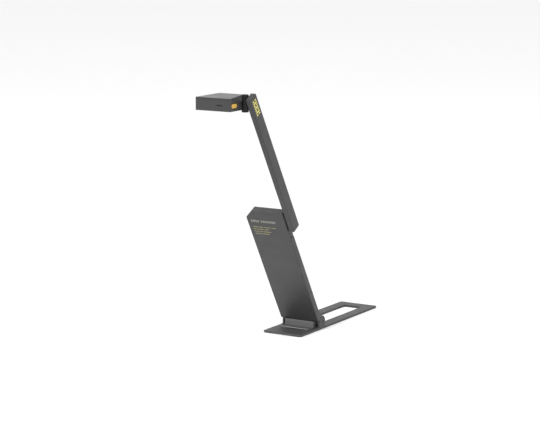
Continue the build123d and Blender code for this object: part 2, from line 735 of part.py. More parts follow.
# ---- arm ----
def arm_outline():
    """The arm seen from its side: a long bar with small round corners."""
    length = ARM_TOP - ARM_BOTTOM
    return Pos(0, ARM_BOTTOM + length / 2) * RectangleRounded(2 * ARM_HALF_DEPTH, length, ARM_ROUND)


def arm_screw_places():
    """How far up the arm's screws stand."""
    step = ARM_REACH / (ARM_SCREWS + 1)
    return [ELBOW_UP + step * (index + 1) for index in range(ARM_SCREWS)]


def arm_screw(z, room=0.0):
    """One screw from the inner cover into a boss of the arm's shell, or its hole."""
    length = ARM_FACE_IN - ARM_IN - SCREW_END_GAP
    sizes = (length, COVER_SCREW_R + room, COVER_SCREW_HEAD_R + room, COVER_SCREW_SINK)
    return screw((ARM_IN, ARM_SCREW_Y, z), (1, 0, 0), *sizes)


def arm_shell():
    """Outer side of the arm with its rim, open towards the stand."""
    shell = slab_yz(arm_outline(), (ARM_SHELL_IN, ARM_OUT))
    outer = shell.faces().sort_by(Axis.X)[-1]
    shell = fillet(outer.edges(), ARM_EDGE)
    shell -= slab_yz(inset(arm_outline(), ARM_WALL), (ARM_SHELL_IN, ARM_FACE_IN))
    for z in arm_screw_places():
        shell += rod_x(ARM_BOSS_R, (ARM_SHELL_IN, ARM_FACE_IN), ARM_SCREW_Y, z)
        shell -= arm_screw(z, FIXED_FIT)
    return shell


def arm_cover():
    """Inner side of the arm, with the openings of both pivots."""
    cover = slab_yz(arm_outline(), (ARM_IN, ARM_SPLIT))
    inner = cover.faces().sort_by(Axis.X)[0]
    cover = fillet(inner.edges(), ARM_COVER_THICK / 2)
    cover -= elbow_rod(ELBOW_SHAFT_R + HOLE_ROOM, (ARM_IN, ARM_SPLIT))
    cover -= rod_x(TILT_BUSH_R + FIXED_FIT, (ARM_IN, ARM_SPLIT), 0, TILT_UP)
    for z in arm_screw_places():
        cover -= arm_screw(z, HOLE_ROOM)
    return cover


def arm_spine():
    """Steel strip along the inside of the arm, riveted to the elbow shaft."""
    x = (SPINE_IN, SPINE_OUT)
    low = ARM_BOTTOM + ARM_WALL + PART_GAP
    spine = bar(x, (-SPINE_HALF, SPINE_HALF), (low + ARM_ROUND, TILT_UP - SPINE_END))
    for z in arm_screw_places():
        spine -= rod_x(ARM_BOSS_R + HOLE_ROOM, x, ARM_SCREW_Y, z)
    return spine


def arm_ribbon():
    """Flat lead along the inside of the arm."""
    x = (SPINE_IN - PART_GAP - RIBBON_THICK, SPINE_IN - PART_GAP)
    right = ARM_SCREW_Y - ARM_BOSS_R - ARM_RIBBON_GAP
    low, high = ELBOW_UP + ELBOW_FLANGE_R + PART_GAP, TILT_UP - SPINE_END
    return bar(x, (right - RIBBON_WIDTH, right), (low, high))


def arm_screws():
    return Part() + [arm_screw(z) for z in arm_screw_places()]


def tilt_bush():
    return ring_x(TILT_BUSH_R, TILT_SHAFT_R + RUN_FIT, (ARM_IN, BUSH_TIP), 0, TILT_UP)


# ---- neck, drawn about the tilt axis ----
def tilt_disc_x(index):
    """Limits of one disc spring, counted from the bush's inner end."""
    left = BUSH_TIP + WASHER_SLACK + index * TILT_DISC_PITCH
    return left, left + TILT_DISC_THICK


def tilt_nut_x():
    """Limits of the tilt nut, against the last disc spring."""
    left = tilt_disc_x(TILT_DISC_COUNT - 1)[1]
    return left, left + TILT_NUT_THICK


def tilt_knuckle():
    """Eye round the swivel pin, with the tilt shaft out of its side into the arm."""
    eye = rod_z(BARREL_R, BARREL_X, -BARREL_FORWARD, (-EYE_HALF, EYE_HALF))
    shaft = rod_x(TILT_SHAFT_R, (BARREL_X, tilt_nut_x()[1]))
    bore = rod_z(SWIVEL_PIN_R + RUN_FIT, BARREL_X, -BARREL_FORWARD, (-BIG, BIG))
    return eye + shaft - bore


def tilt_washer():
    right = ARM_IN - WASHER_SLACK
    return ring_x(TILT_WASHER_R, TILT_SHAFT_R + FIXED_FIT, (right - TILT_WASHER_THICK, right))


def tilt_disc_springs():
    hole = TILT_SHAFT_R + FIXED_FIT
    return Part() + [ring_x(TILT_DISC_R, hole, tilt_disc_x(i)) for i in range(TILT_DISC_COUNT)]


def tilt_nut():
    return hex_nut(TILT_NUT_FLATS, TILT_SHAFT_R + FIXED_FIT, tilt_nut_x(), 0, 0)


# ---- head, drawn about the tilt axis ----
def head_outline():
    """The head seen from above."""
    width, depth = HEAD_RIGHT - HEAD_LEFT, HEAD_FRONT + HEAD_BACK
    centre = ((HEAD_RIGHT + HEAD_LEFT) / 2, (HEAD_BACK - HEAD_FRONT) / 2)
    return Pos(*centre) * RectangleRounded(width, depth, HEAD_CORNER)


def beyond_facet(depth=0.0):
    """All that lies outside the slanting facet at the top right, moved inwards by depth."""
    corner = Vector(HEAD_RIGHT, -HEAD_FRONT, HEAD_ABOVE)
    along_top = Vector(-FACET_IN, FACET_AT, 0)
    down_side = Vector(0, FACET_SIDE_AT, -FACET_DOWN)
    plane = Plane(origin=corner, x_dir=along_top, z_dir=down_side.cross(along_top))
    return plane.offset(-depth) * Pos(0, 0, BIG / 2) * Box(BIG, BIG, BIG)


def barrel_rod(radius, z):
    """Cylinder on the swivel axis."""
    return rod_z(radius, BARREL_X, -BARREL_FORWARD, z)


def head_body():
    """Solid outer form of the head, with its side hollowed round the barrel."""
    body = slab_xy(head_outline(), (-HEAD_BELOW, HEAD_ABOVE))
    rims = body.edges().filter_by(Plane.XY)
    body = fillet(rims, HEAD_EDGE)
    return body - beyond_facet() - barrel_rod(BARREL_R + BARREL_ROOM, (-BIG, BIG))


def head_cavity():
    """Room inside the head's walls."""
    room = slab_xy(inset(head_outline(), HEAD_WALL), (HEAD_FLOOR, HEAD_CEILING))
    room -= beyond_facet(HEAD_WALL)
    return room - barrel_rod(BARREL_R + BARREL_ROOM + HEAD_WALL / 2, (-BIG, BIG))


def head_screw_places():
    """Where the head's four screws stand."""
    front, back = -HEAD_FRONT + HEAD_SCREW_INSET, HEAD_BACK - HEAD_SCREW_INSET
    return [(x, y) for x in (HEAD_LEFT + HEAD_SCREW_INSET, HEAD_SCREW_RIGHT) for y in (front, back)]


def head_screw(x, y, room=0.0):
    """One screw up through the lower cover into a post of the upper one, or its hole."""
    length = HEAD_BELOW + HEAD_CEILING - HEAD_SCREW_END
    sizes = (length, HEAD_SCREW_R + room, HEAD_SCREW_HEAD_R + room, COVER_SCREW_SINK)
    return screw((x, y, -HEAD_BELOW), (0, 0, 1), *sizes)


def head_top_cover():
    """Upper cover with a locating lip and four screw posts."""
    above = bar((-BIG, BIG), (-BIG, BIG), (HEAD_SPLIT, BIG))
    cover = (head_body() - head_cavity()) & above
    lip_z = (HEAD_SPLIT - LIP_DROP, HEAD_CEILING)
    gap = HEAD_WALL + SEAT_GAP
    lip = slab_xy(inset(head_outline(), gap) - inset(head_outline(), gap + LIP_THICK), lip_z)
    lip -= bar((HEAD_SCREW_RIGHT - 2 * HEAD_BOSS_R, BIG), (-BIG, BIG), (-BIG, BIG))
    cover += lip
    for x, y in head_screw_places():
        cover += rod_z(HEAD_POST_R, x, y, (PART_GAP, HEAD_CEILING))
        cover -= head_screw(x, y, FIXED_FIT)
    return cover


def head_bottom_cover():
    """Lower cover: floor, walls, screw bosses and every opening of the head."""
    below = bar((-BIG, BIG), (-BIG, BIG), (-BIG, HEAD_SPLIT))
    cover = (head_body() - head_cavity()) & below
    for x, y in head_screw_places():
        cover += rod_z(HEAD_BOSS_R, x, y, (HEAD_FLOOR, 0))
        cover -= head_screw(x, y, HOLE_ROOM)
        cover -= rod_z(HEAD_POST_R + PART_GAP, x, y, (0, HEAD_SPLIT))
    glass_top = -HEAD_BELOW + WINDOW_SINK + WINDOW_GLASS
    cover -= rod_z(WINDOW_R + FIXED_FIT, LENS_X, LENS_Y, (-HEAD_BELOW, glass_top))
    cover -= rod_z(LENS_R + LENS_ROOM, LENS_X, LENS_Y, (-HEAD_BELOW, HEAD_FLOOR))
    cover -= rod_z(LED_R + FIXED_FIT, LED_X, LENS_Y, (-HEAD_BELOW, HEAD_FLOOR))
    mic_x = (MIC_X - MIC_LENGTH / 2, MIC_X + MIC_LENGTH / 2)
    mic_z = (MIC_Z - MIC_HEIGHT / 2, MIC_Z + MIC_HEIGHT / 2)
    cover -= bar(mic_x, (-HEAD_FRONT, -HEAD_FRONT + HEAD_WALL), mic_z)
    cover -= button_pill((HEAD_SIDE_IN, HEAD_RIGHT), BEZEL_RIM + FIXED_FIT)
    return cover - lug_web(PART_GAP)


def lug_web(room=0.0):
    """Web from the lug's plate to its barrel, through the head's side."""
    y = (-BARREL_FORWARD - WEB_HALF - room, -BARREL_FORWARD + WEB_HALF + room)
    x = (LUG_PLATE_OUT - LUG_PLATE, BARREL_X)
    return bar(x, y, (HEAD_FLOOR + PART_GAP - room, WEB_TOP + room))


def head_hinge_lug():
    """Barrel under the eye, joined through the head's side to a plate inside it."""
    plate_y = (-BARREL_FORWARD - LUG_PLATE_HALF, -BARREL_FORWARD + LUG_PLATE_HALF)
    plate_x = (LUG_PLATE_OUT - LUG_PLATE, LUG_PLATE_OUT)
    lug = bar(plate_x, plate_y, (HEAD_FLOOR + PART_GAP, LUG_PLATE_TOP))
    lug = lug - beyond_facet(HEAD_WALL + PART_GAP) + lug_web()
    lug += barrel_rod(BARREL_R, (-BARREL_DROP, BARREL_TOP))
    return lug - barrel_rod(SWIVEL_PIN_R + FIXED_FIT, (-SWIVEL_PIN_DOWN, BIG))


def swivel_pin():
    return barrel_rod(SWIVEL_PIN_R, (-SWIVEL_PIN_DOWN, SWIVEL_PIN_UP))


def swivel_washers():
    """Friction washers under and over the eye."""
    washers = Part()
    for low, high in ((BARREL_TOP, -EYE_HALF), (EYE_HALF, CAP_BOTTOM)):
        span = washer_span(low, high)
        washers += barrel_rod(SWIVEL_WASHER_R, span) - barrel_rod(SWIVEL_PIN_R + FIXED_FIT, span)
    return washers


def swivel_cap():
    """Round cap over the eye, screwed down on the pin."""
    cap = barrel_rod(BARREL_R, (CAP_BOTTOM, CAP_BOTTOM + CAP_THICK))
    rim = cap.edges().sort_by(Axis.Z)[-1]
    cap = fillet(rim, CAP_ROUND)
    return cap - barrel_rod(SWIVEL_PIN_R + FIXED_FIT, (CAP_BOTTOM, SWIVEL_PIN_UP))


def lens_window():
    low = -HEAD_BELOW + WINDOW_SINK
    return rod_z(WINDOW_R, LENS_X, LENS_Y, (low, low + WINDOW_GLASS))


def lens_barrel():
    """Lens in its threaded barrel, from just over the window up to the holder."""
    low = -HEAD_BELOW + WINDOW_SINK + WINDOW_GLASS + PART_GAP
    barrel = rod_z(LENS_R, LENS_X, LENS_Y, (low, low + LENS_LENGTH))
    dish = Pos(LENS_X, LENS_Y, low - LENS_R) * Sphere(LENS_DISH_R)
    return barrel - dish


def lens_holder():
    """Block round the lens barrel, on the sensor board."""
    half = HOLDER_SIDE / 2
    x, y = (LENS_X - half, LENS_X + half), (LENS_Y - half, LENS_Y + half)
    block = bar(x, y, (HOLDER_TOP - HOLDER_HEIGHT, HOLDER_TOP))
    return block - rod_z(LENS_R + FIXED_FIT, LENS_X, LENS_Y, (HOLDER_TOP - HOLDER_HEIGHT, HOLDER_TOP))


def sensor_board():
    half = SENSOR_SIDE / 2
    x, y = (LENS_X - half, LENS_X + half), (LENS_Y - half, LENS_Y + half)
    return bar(x, y, (HOLDER_TOP, HOLDER_TOP + SENSOR_THICK))


def lamp_lens():
    """Small round window of the reading lamp."""
    return rod_z(LED_R, LED_X, LENS_Y, (-HEAD_BELOW + WINDOW_SINK, HEAD_FLOOR))


def lamp_board():
    half = LED_BOARD_SIDE / 2
    x, y = (LED_X - half, LED_X + half), (LENS_Y - half, LENS_Y + half)
    return bar(x, y, (HEAD_FLOOR, HEAD_FLOOR + BOARD_THICK))


def microphone_mesh():
    """Thin mesh behind the slot in the head's front."""
    x = (MIC_X - MIC_LENGTH / 2 - MIC_MESH_MARGIN, MIC_X + MIC_LENGTH / 2 + MIC_MESH_MARGIN)
    z = (MIC_Z - MIC_HEIGHT / 2 - MIC_MESH_MARGIN, MIC_Z + MIC_HEIGHT / 2 + MIC_MESH_MARGIN)
    y = -HEAD_FRONT + HEAD_WALL
    return bar(x, (y, y + MIC_MESH_THICK), z)


def button_pill(x, grow=0.0):
    """Stadium at the button's place, larger all round by grow."""
    return pill(x, BUTTON_Y, BUTTON_Z, BUTTON_LENGTH + 2 * grow, BUTTON_HEIGHT + 2 * grow)


def button_bezel():
    """Sunk rim that guides the button in the head's side."""
    return button_pill((BEZEL_BACK, BEZEL_FACE), BEZEL_RIM) - button_pill((BEZEL_BACK, BEZEL_FACE), RUN_FIT)


def shutter_button():
    """Push button with a domed rim and a flange that holds it behind the bezel."""
    button = button_pill((FLANGE_FACE, HEAD_RIGHT + BUTTON_PROUD))
    outer = button.faces().sort_by(Axis.X)[-1]
    button = fillet(outer.edges(), BUTTON_DOME)
    return button + button_pill((FLANGE_BACK, FLANGE_FACE), BUTTON_LIP)


def tact_switch():
    """Small switch behind the button."""
    half = SWITCH_SIDE / 2
    y, z = (BUTTON_Y - half, BUTTON_Y + half), (BUTTON_Z - half, BUTTON_Z + half)
    plunger = rod_x(SWITCH_PLUNGER_R, (SWITCH_FACE, PLUNGER_TIP), BUTTON_Y, BUTTON_Z)
    return bar((SWITCH_BACK, SWITCH_FACE), y, z) + plunger


def button_board():
    """Upright board that carries the switch."""
    y = (BUTTON_Y - SWITCH_BOARD_HALF, BUTTON_Y + SWITCH_BOARD_HALF)
    z = (HEAD_FLOOR, BUTTON_Z + SWITCH_BOARD_HALF / 2)
    return bar((SWITCH_BACK - SWITCH_BOARD_THICK, SWITCH_BACK), y, z)


def head_screws():
    return Part() + [head_screw(x, y) for x, y in head_screw_places()]


# ---- every node, by the frame it is drawn in ----
BASE_NODES = {
    "base_plate": base_plate,
    "base_grip_pad": base_grip_pad,
    "hinge_block": hinge_block,
    "hinge_ear_right": lambda: hinge_ear(SIDES["right"]),
    "hinge_ear_left": lambda: hinge_ear(SIDES["left"]),
    "hinge_pin_right": lambda: hinge_pin(SIDES["right"]),
    "hinge_pin_left": lambda: hinge_pin(SIDES["left"]),
    "hinge_friction_discs": lambda: hinge_washers(CHEEK_OUT, EAR_IN),
    "hinge_wave_washers": lambda: hinge_washers(BLOCK_HALF, CHEEK_IN),
    "base_screws": base_screws,
}
LEANED_NODES = {
    "stand_front_shell": stand_front_shell,
    "stand_rear_cover": stand_rear_cover,
    "stand_hinge_bracket": stand_hinge_bracket,
    "stand_stiffener": stand_stiffener,
    "stiffener_screws": stiffener_screws,
    "control_board": control_board,
    "signal_inlet": signal_inlet,
    "stand_ribbon": stand_ribbon,
    "cover_screws": cover_screws,
    "elbow_housing": elbow_housing,
    "elbow_cap": elbow_cap,
    "elbow_washer": elbow_washer,
    "elbow_disc_springs": elbow_disc_springs,
    "elbow_nut": elbow_nut,
    "elbow_shaft": elbow_shaft,
    "arm_shell": arm_shell,
    "arm_cover": arm_cover,
    "arm_spine": arm_spine,
    "arm_ribbon": arm_ribbon,
    "arm_screws": arm_screws,
    "tilt_bush": tilt_bush,
}
HEAD_NODES = {
    "tilt_knuckle": tilt_knuckle,
    "tilt_washer": tilt_washer,
    "tilt_disc_springs": tilt_disc_springs,
    "tilt_nut": tilt_nut,
    "head_top_cover": head_top_cover,
    "head_bottom_cover": head_bottom_cover,
    "head_hinge_lug": head_hinge_lug,
    "swivel_pin": swivel_pin,
    "swivel_washers": swivel_washers,
    "swivel_cap": swivel_cap,
    "lens_window": lens_window,
    "lens_barrel": lens_barrel,
    "lens_holder": lens_holder,
    "sensor_board": sensor_board,
    "lamp_lens": lamp_lens,
    "lamp_board": lamp_board,
    "microphone_mesh": microphone_mesh,
    "button_bezel": button_bezel,
    "shutter_button": shutter_button,
    "tact_switch": tact_switch,
    "button_board": button_board,
    "head_screws": head_screws,
}


def main():
    os.makedirs("parts", exist_ok=True)
    for place, nodes in ((Pos(0, 0, 0), BASE_NODES), (LEANED, LEANED_NODES), (AT_HEAD, HEAD_NODES)):
        for name, build in nodes.items():
            export_step(place * build(), f"parts/{name}.step")


main()
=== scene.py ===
"""Looks of the folding book scanner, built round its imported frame."""

import json
import logging
import math
from dataclasses import dataclass, field
from enum import Enum

import bmesh
import bpy
from mathutils import Matrix, Vector


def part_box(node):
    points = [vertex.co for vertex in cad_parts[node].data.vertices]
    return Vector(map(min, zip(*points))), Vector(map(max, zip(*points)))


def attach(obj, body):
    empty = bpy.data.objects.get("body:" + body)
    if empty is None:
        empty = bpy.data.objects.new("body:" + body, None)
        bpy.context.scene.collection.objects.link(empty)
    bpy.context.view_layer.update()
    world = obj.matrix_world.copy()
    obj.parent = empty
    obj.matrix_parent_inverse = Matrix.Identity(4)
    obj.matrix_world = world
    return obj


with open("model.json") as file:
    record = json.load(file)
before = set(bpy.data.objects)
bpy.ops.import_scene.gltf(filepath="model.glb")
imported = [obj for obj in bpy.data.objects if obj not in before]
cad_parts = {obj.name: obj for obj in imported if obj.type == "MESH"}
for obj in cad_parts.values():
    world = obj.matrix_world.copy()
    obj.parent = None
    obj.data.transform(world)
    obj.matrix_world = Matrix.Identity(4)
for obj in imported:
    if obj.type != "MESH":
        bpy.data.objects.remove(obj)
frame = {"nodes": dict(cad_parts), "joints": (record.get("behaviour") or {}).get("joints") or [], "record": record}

LOG = logging.getLogger("book_scanner")
MM = 0.001
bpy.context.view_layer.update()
MOTTLE_SIZE = 26.0  # patches of slightly different colour, in millimetres
SMEAR_SIZE = 14.0  # smears of handling, in millimetres
EDGE_PATCH_SIZE = 5.0  # patches along the lighter edges, scuffing mixed with painted highlight, in millimetres


# ---------------------------------------------------------------- finishes
class Texture(Enum):
    """Surface pattern that a finish is given."""

    MOULDED = "fine spark-eroded grain"
    COATED = "powder coat"
    BRUSHED = "lines along X"
    TURNED = "fine rings and smears"
    RIBBED = "close ribs across the base"
    BOARD = "printed tracks"


@dataclass(frozen=True)
class Finish:
    """One procedural finish: colour, gloss and the texture that breaks them up.

    Attributes:
        name: material name.
        colour: linear base colour.
        roughness: middle roughness.
        texture: pattern of the bump.
        grain: size of the pattern in millimetres.
        relief: height of the bump in millimetres.
        mottle: how far the colour wanders, as a share.
        metallic: 0 for plastic and paint, 1 for bare metal.
        coat: clear coat weight.
        specular: specular level.
        soften: radius that the shader rounds edges by, in millimetres.
        wear_and_highlight: how much lighter the edges are painted, as a share; partly scuffing, partly a painted
            highlight on the rounded edges.
    """

    name: str
    colour: tuple[float, float, float]
    roughness: float
    texture: Texture = Texture.MOULDED
    grain: float = 0.45
    relief: float = 0.012
    mottle: float = 0.06
    metallic: float = 0.0
    coat: float = 0.0
    specular: float = 0.5
    soften: float = 0.35
    wear_and_highlight: float = 0.18

    def build(self) -> bpy.types.Material:
        """Makes the node tree of this finish.

        Returns:
            The finished material.
        """
        material = bpy.data.materials.new(self.name)
        material.use_nodes = True
        material.diffuse_color = (*self.colour, 1.0)
        tree = material.node_tree
        shader = tree.nodes["Principled BSDF"]
        shader.inputs["Metallic"].default_value = self.metallic
        shader.inputs["Specular IOR Level"].default_value = self.specular
        shader.inputs["Coat Weight"].default_value = self.coat
        shader.inputs["Coat Roughness"].default_value = 0.12
        place = tree.nodes.new("ShaderNodeTexCoord").outputs["Object"]
        self._colour(tree, shader, place)
        self._roughness(tree, shader, place)
        self._bump(tree, shader, place)
        return material

    def _noise(self, tree: bpy.types.NodeTree, place: bpy.types.NodeSocket, size: float,
               detail: float) -> bpy.types.NodeSocket:
        """Adds a noise whose features are about size millimetres across.

        Args:
            tree: node tree to add to.
            place: coordinates to read.
            size: feature size in millimetres.
            detail: octaves of finer noise.

        Returns:
            The noise's factor socket.
        """
        noise = tree.nodes.new("ShaderNodeTexNoise")
        noise.inputs["Scale"].default_value = 1.0 / (size * MM)
        noise.inputs["Detail"].default_value = detail
        tree.links.new(place, noise.inputs["Vector"])
        return noise.outputs["Fac"]

    def _range(self, tree: bpy.types.NodeTree, value: bpy.types.NodeSocket, low: float,
               high: float, start: float = 0.3, end: float = 0.7) -> bpy.types.NodeSocket:
        """Stretches a factor between two values.

        Args:
            tree: node tree to add to.
            value: factor socket.
            low: value at start.
            high: value at end.
            start: where the factor gives low.
            end: where the factor gives high.

        Returns:
            The stretched value's socket.
        """
        node = tree.nodes.new("ShaderNodeMapRange")
        node.inputs["From Min"].default_value = start
        node.inputs["From Max"].default_value = end
        node.inputs["To Min"].default_value = low
        node.inputs["To Max"].default_value = high
        tree.links.new(value, node.inputs["Value"])
        return node.outputs["Result"]

    def _colour(self, tree: bpy.types.NodeTree, shader: bpy.types.Node,
                place: bpy.types.NodeSocket) -> None:
        """Wires the wandering colour and the lighter edges: partly scuffing, partly a painted highlight on the
        rounded edges.

        Args:
            tree: node tree to add to.
            shader: surface shader.
            place: coordinates to read.
        """
        ramp = tree.nodes.new("ShaderNodeValToRGB")
        low, high = ramp.color_ramp.elements
        low.position, high.position = 0.32, 0.68
        low.color = (*(c * (1.0 - self.mottle) for c in self.colour), 1.0)
        high.color = (*(c * (1.0 + self.mottle) for c in self.colour), 1.0)
        tree.links.new(self._noise(tree, place, MOTTLE_SIZE, 3.0), ramp.inputs["Fac"])
        # painted highlight mixed with scuffing: edges, found where the bevel normal turns from the flat one, are
        # painted lighter in patches
        edge = tree.nodes.new("ShaderNodeBevel")
        edge.samples = 4
        edge.inputs["Radius"].default_value = max(self.soften, 0.1) * MM
        flat = tree.nodes.new("ShaderNodeNewGeometry")
        turn = tree.nodes.new("ShaderNodeVectorMath")
        turn.operation = "DOT_PRODUCT"
        tree.links.new(edge.outputs["Normal"], turn.inputs[0])
        tree.links.new(flat.outputs["Normal"], turn.inputs[1])
        edge_mask = self._range(tree, turn.outputs["Value"], 1.0, 0.0, 0.80, 0.99)
        patch = tree.nodes.new("ShaderNodeMath")
        patch.operation = "MULTIPLY"
        tree.links.new(edge_mask, patch.inputs[0])
        edge_patches = self._range(tree, self._noise(tree, place, EDGE_PATCH_SIZE, 4.0), 0.35, 1.0)
        tree.links.new(edge_patches, patch.inputs[1])
        mix = tree.nodes.new("ShaderNodeMix")
        mix.data_type = "RGBA"
        tree.links.new(patch.outputs["Value"], mix.inputs["Factor"])
        tree.links.new(ramp.outputs["Color"], mix.inputs["A"])
        bright = (min(1.0, c * (1.0 + self.wear_and_highlight) + 0.01) for c in self.colour)
        mix.inputs["B"].default_value = (*bright, 1.0)
        tree.links.new(mix.outputs["Result"], shader.inputs["Base Color"])

    def _roughness(self, tree: bpy.types.NodeTree, shader: bpy.types.Node,
                   place: bpy.types.NodeSocket) -> None:
        """Wires the roughness, with faint smears of handling.

        Args:
            tree: node tree to add to.
            shader: surface shader.
            place: coordinates to read.
        """
        smear = self._noise(tree, place, SMEAR_SIZE, 5.0)
        low, high = max(0.02, self.roughness - 0.05), min(1.0, self.roughness + 0.05)
        tree.links.new(self._range(tree, smear, low, high), shader.inputs["Roughness"])

    def _height(self, tree: bpy.types.NodeTree, place: bpy.types.NodeSocket) -> bpy.types.NodeSocket:
        """Makes the bump's height pattern.

        Args:
            tree: node tree to add to.
            place: coordinates to read.

        Returns:
            The height socket.
        """
        if self.texture in (Texture.MOULDED, Texture.COATED):
            detail = 2.0 if self.texture is Texture.MOULDED else 0.5
            return self._noise(tree, place, self.grain, detail)
        if self.texture is Texture.RIBBED:
            wave = tree.nodes.new("ShaderNodeTexWave")
            wave.bands_direction = "Y"
            wave.inputs["Scale"].default_value = 1.0 / (self.grain * MM) / 2.0
            tree.links.new(place, wave.inputs["Vector"])
            return wave.outputs["Fac"]
        if self.texture is Texture.BOARD:
            brick = tree.nodes.new("ShaderNodeTexBrick")
            brick.inputs["Scale"].default_value = 1.0 / (self.grain * MM)
            tree.links.new(place, brick.inputs["Vector"])
            return brick.outputs["Fac"]
        stretch = tree.nodes.new("ShaderNodeMapping")
        along = 0.04 if self.texture is Texture.BRUSHED else 0.3
        stretch.inputs["Scale"].default_value = (along, 1.0, 1.0)
        tree.links.new(place, stretch.inputs["Vector"])
        return self._noise(tree, stretch.outputs["Vector"], self.grain, 3.0)

    def _bump(self, tree: bpy.types.NodeTree, shader: bpy.types.Node,
              place: bpy.types.NodeSocket) -> None:
        """Wires the bump over softly rounded edges.

        Args:
            tree: node tree to add to.
            shader: surface shader.
            place: coordinates to read.
        """
        bump = tree.nodes.new("ShaderNodeBump")
        bump.inputs["Strength"].default_value = 0.6
        bump.inputs["Distance"].default_value = self.relief * MM
        tree.links.new(self._height(tree, place), bump.inputs["Height"])
        if self.soften > 0.0:
            edge = tree.nodes.new("ShaderNodeBevel")
            edge.samples = 4
            edge.inputs["Radius"].default_value = self.soften * MM
            tree.links.new(edge.outputs["Normal"], bump.inputs["Normal"])
        tree.links.new(bump.outputs["Normal"], shader.inputs["Normal"])


@dataclass(frozen=True)
class GlassFinish:
    """Clear or smoked glass with a faint coating.

    Attributes:
        name: material name.
        colour: transmission tint.
        roughness: surface roughness.
    """

    name: str
    colour: tuple[float, float, float]
    roughness: float = 0.02

    def build(self) -> bpy.types.Material:
        """Makes the glass.

        Returns:
            The finished material.
        """
        material = bpy.data.materials.new(self.name)
        material.use_nodes = True
        tree = material.node_tree
        shader = tree.nodes["Principled BSDF"]
        shader.inputs["Transmission Weight"].default_value = 0.9
        shader.inputs["IOR"].default_value = 1.5
        shader.inputs["Coat Weight"].default_value = 0.5
        noise = tree.nodes.new("ShaderNodeTexNoise")
        noise.inputs["Scale"].default_value = 400.0
        ramp = tree.nodes.new("ShaderNodeValToRGB")
        ramp.color_ramp.elements[0].color = (*(c * 0.94 for c in self.colour), 1.0)
        ramp.color_ramp.elements[1].color = (*self.colour, 1.0)
        tree.links.new(noise.outputs["Fac"], ramp.inputs["Fac"])
        tree.links.new(ramp.outputs["Color"], shader.inputs["Base Color"])
        shader.inputs["Roughness"].default_value = self.roughness
        return material


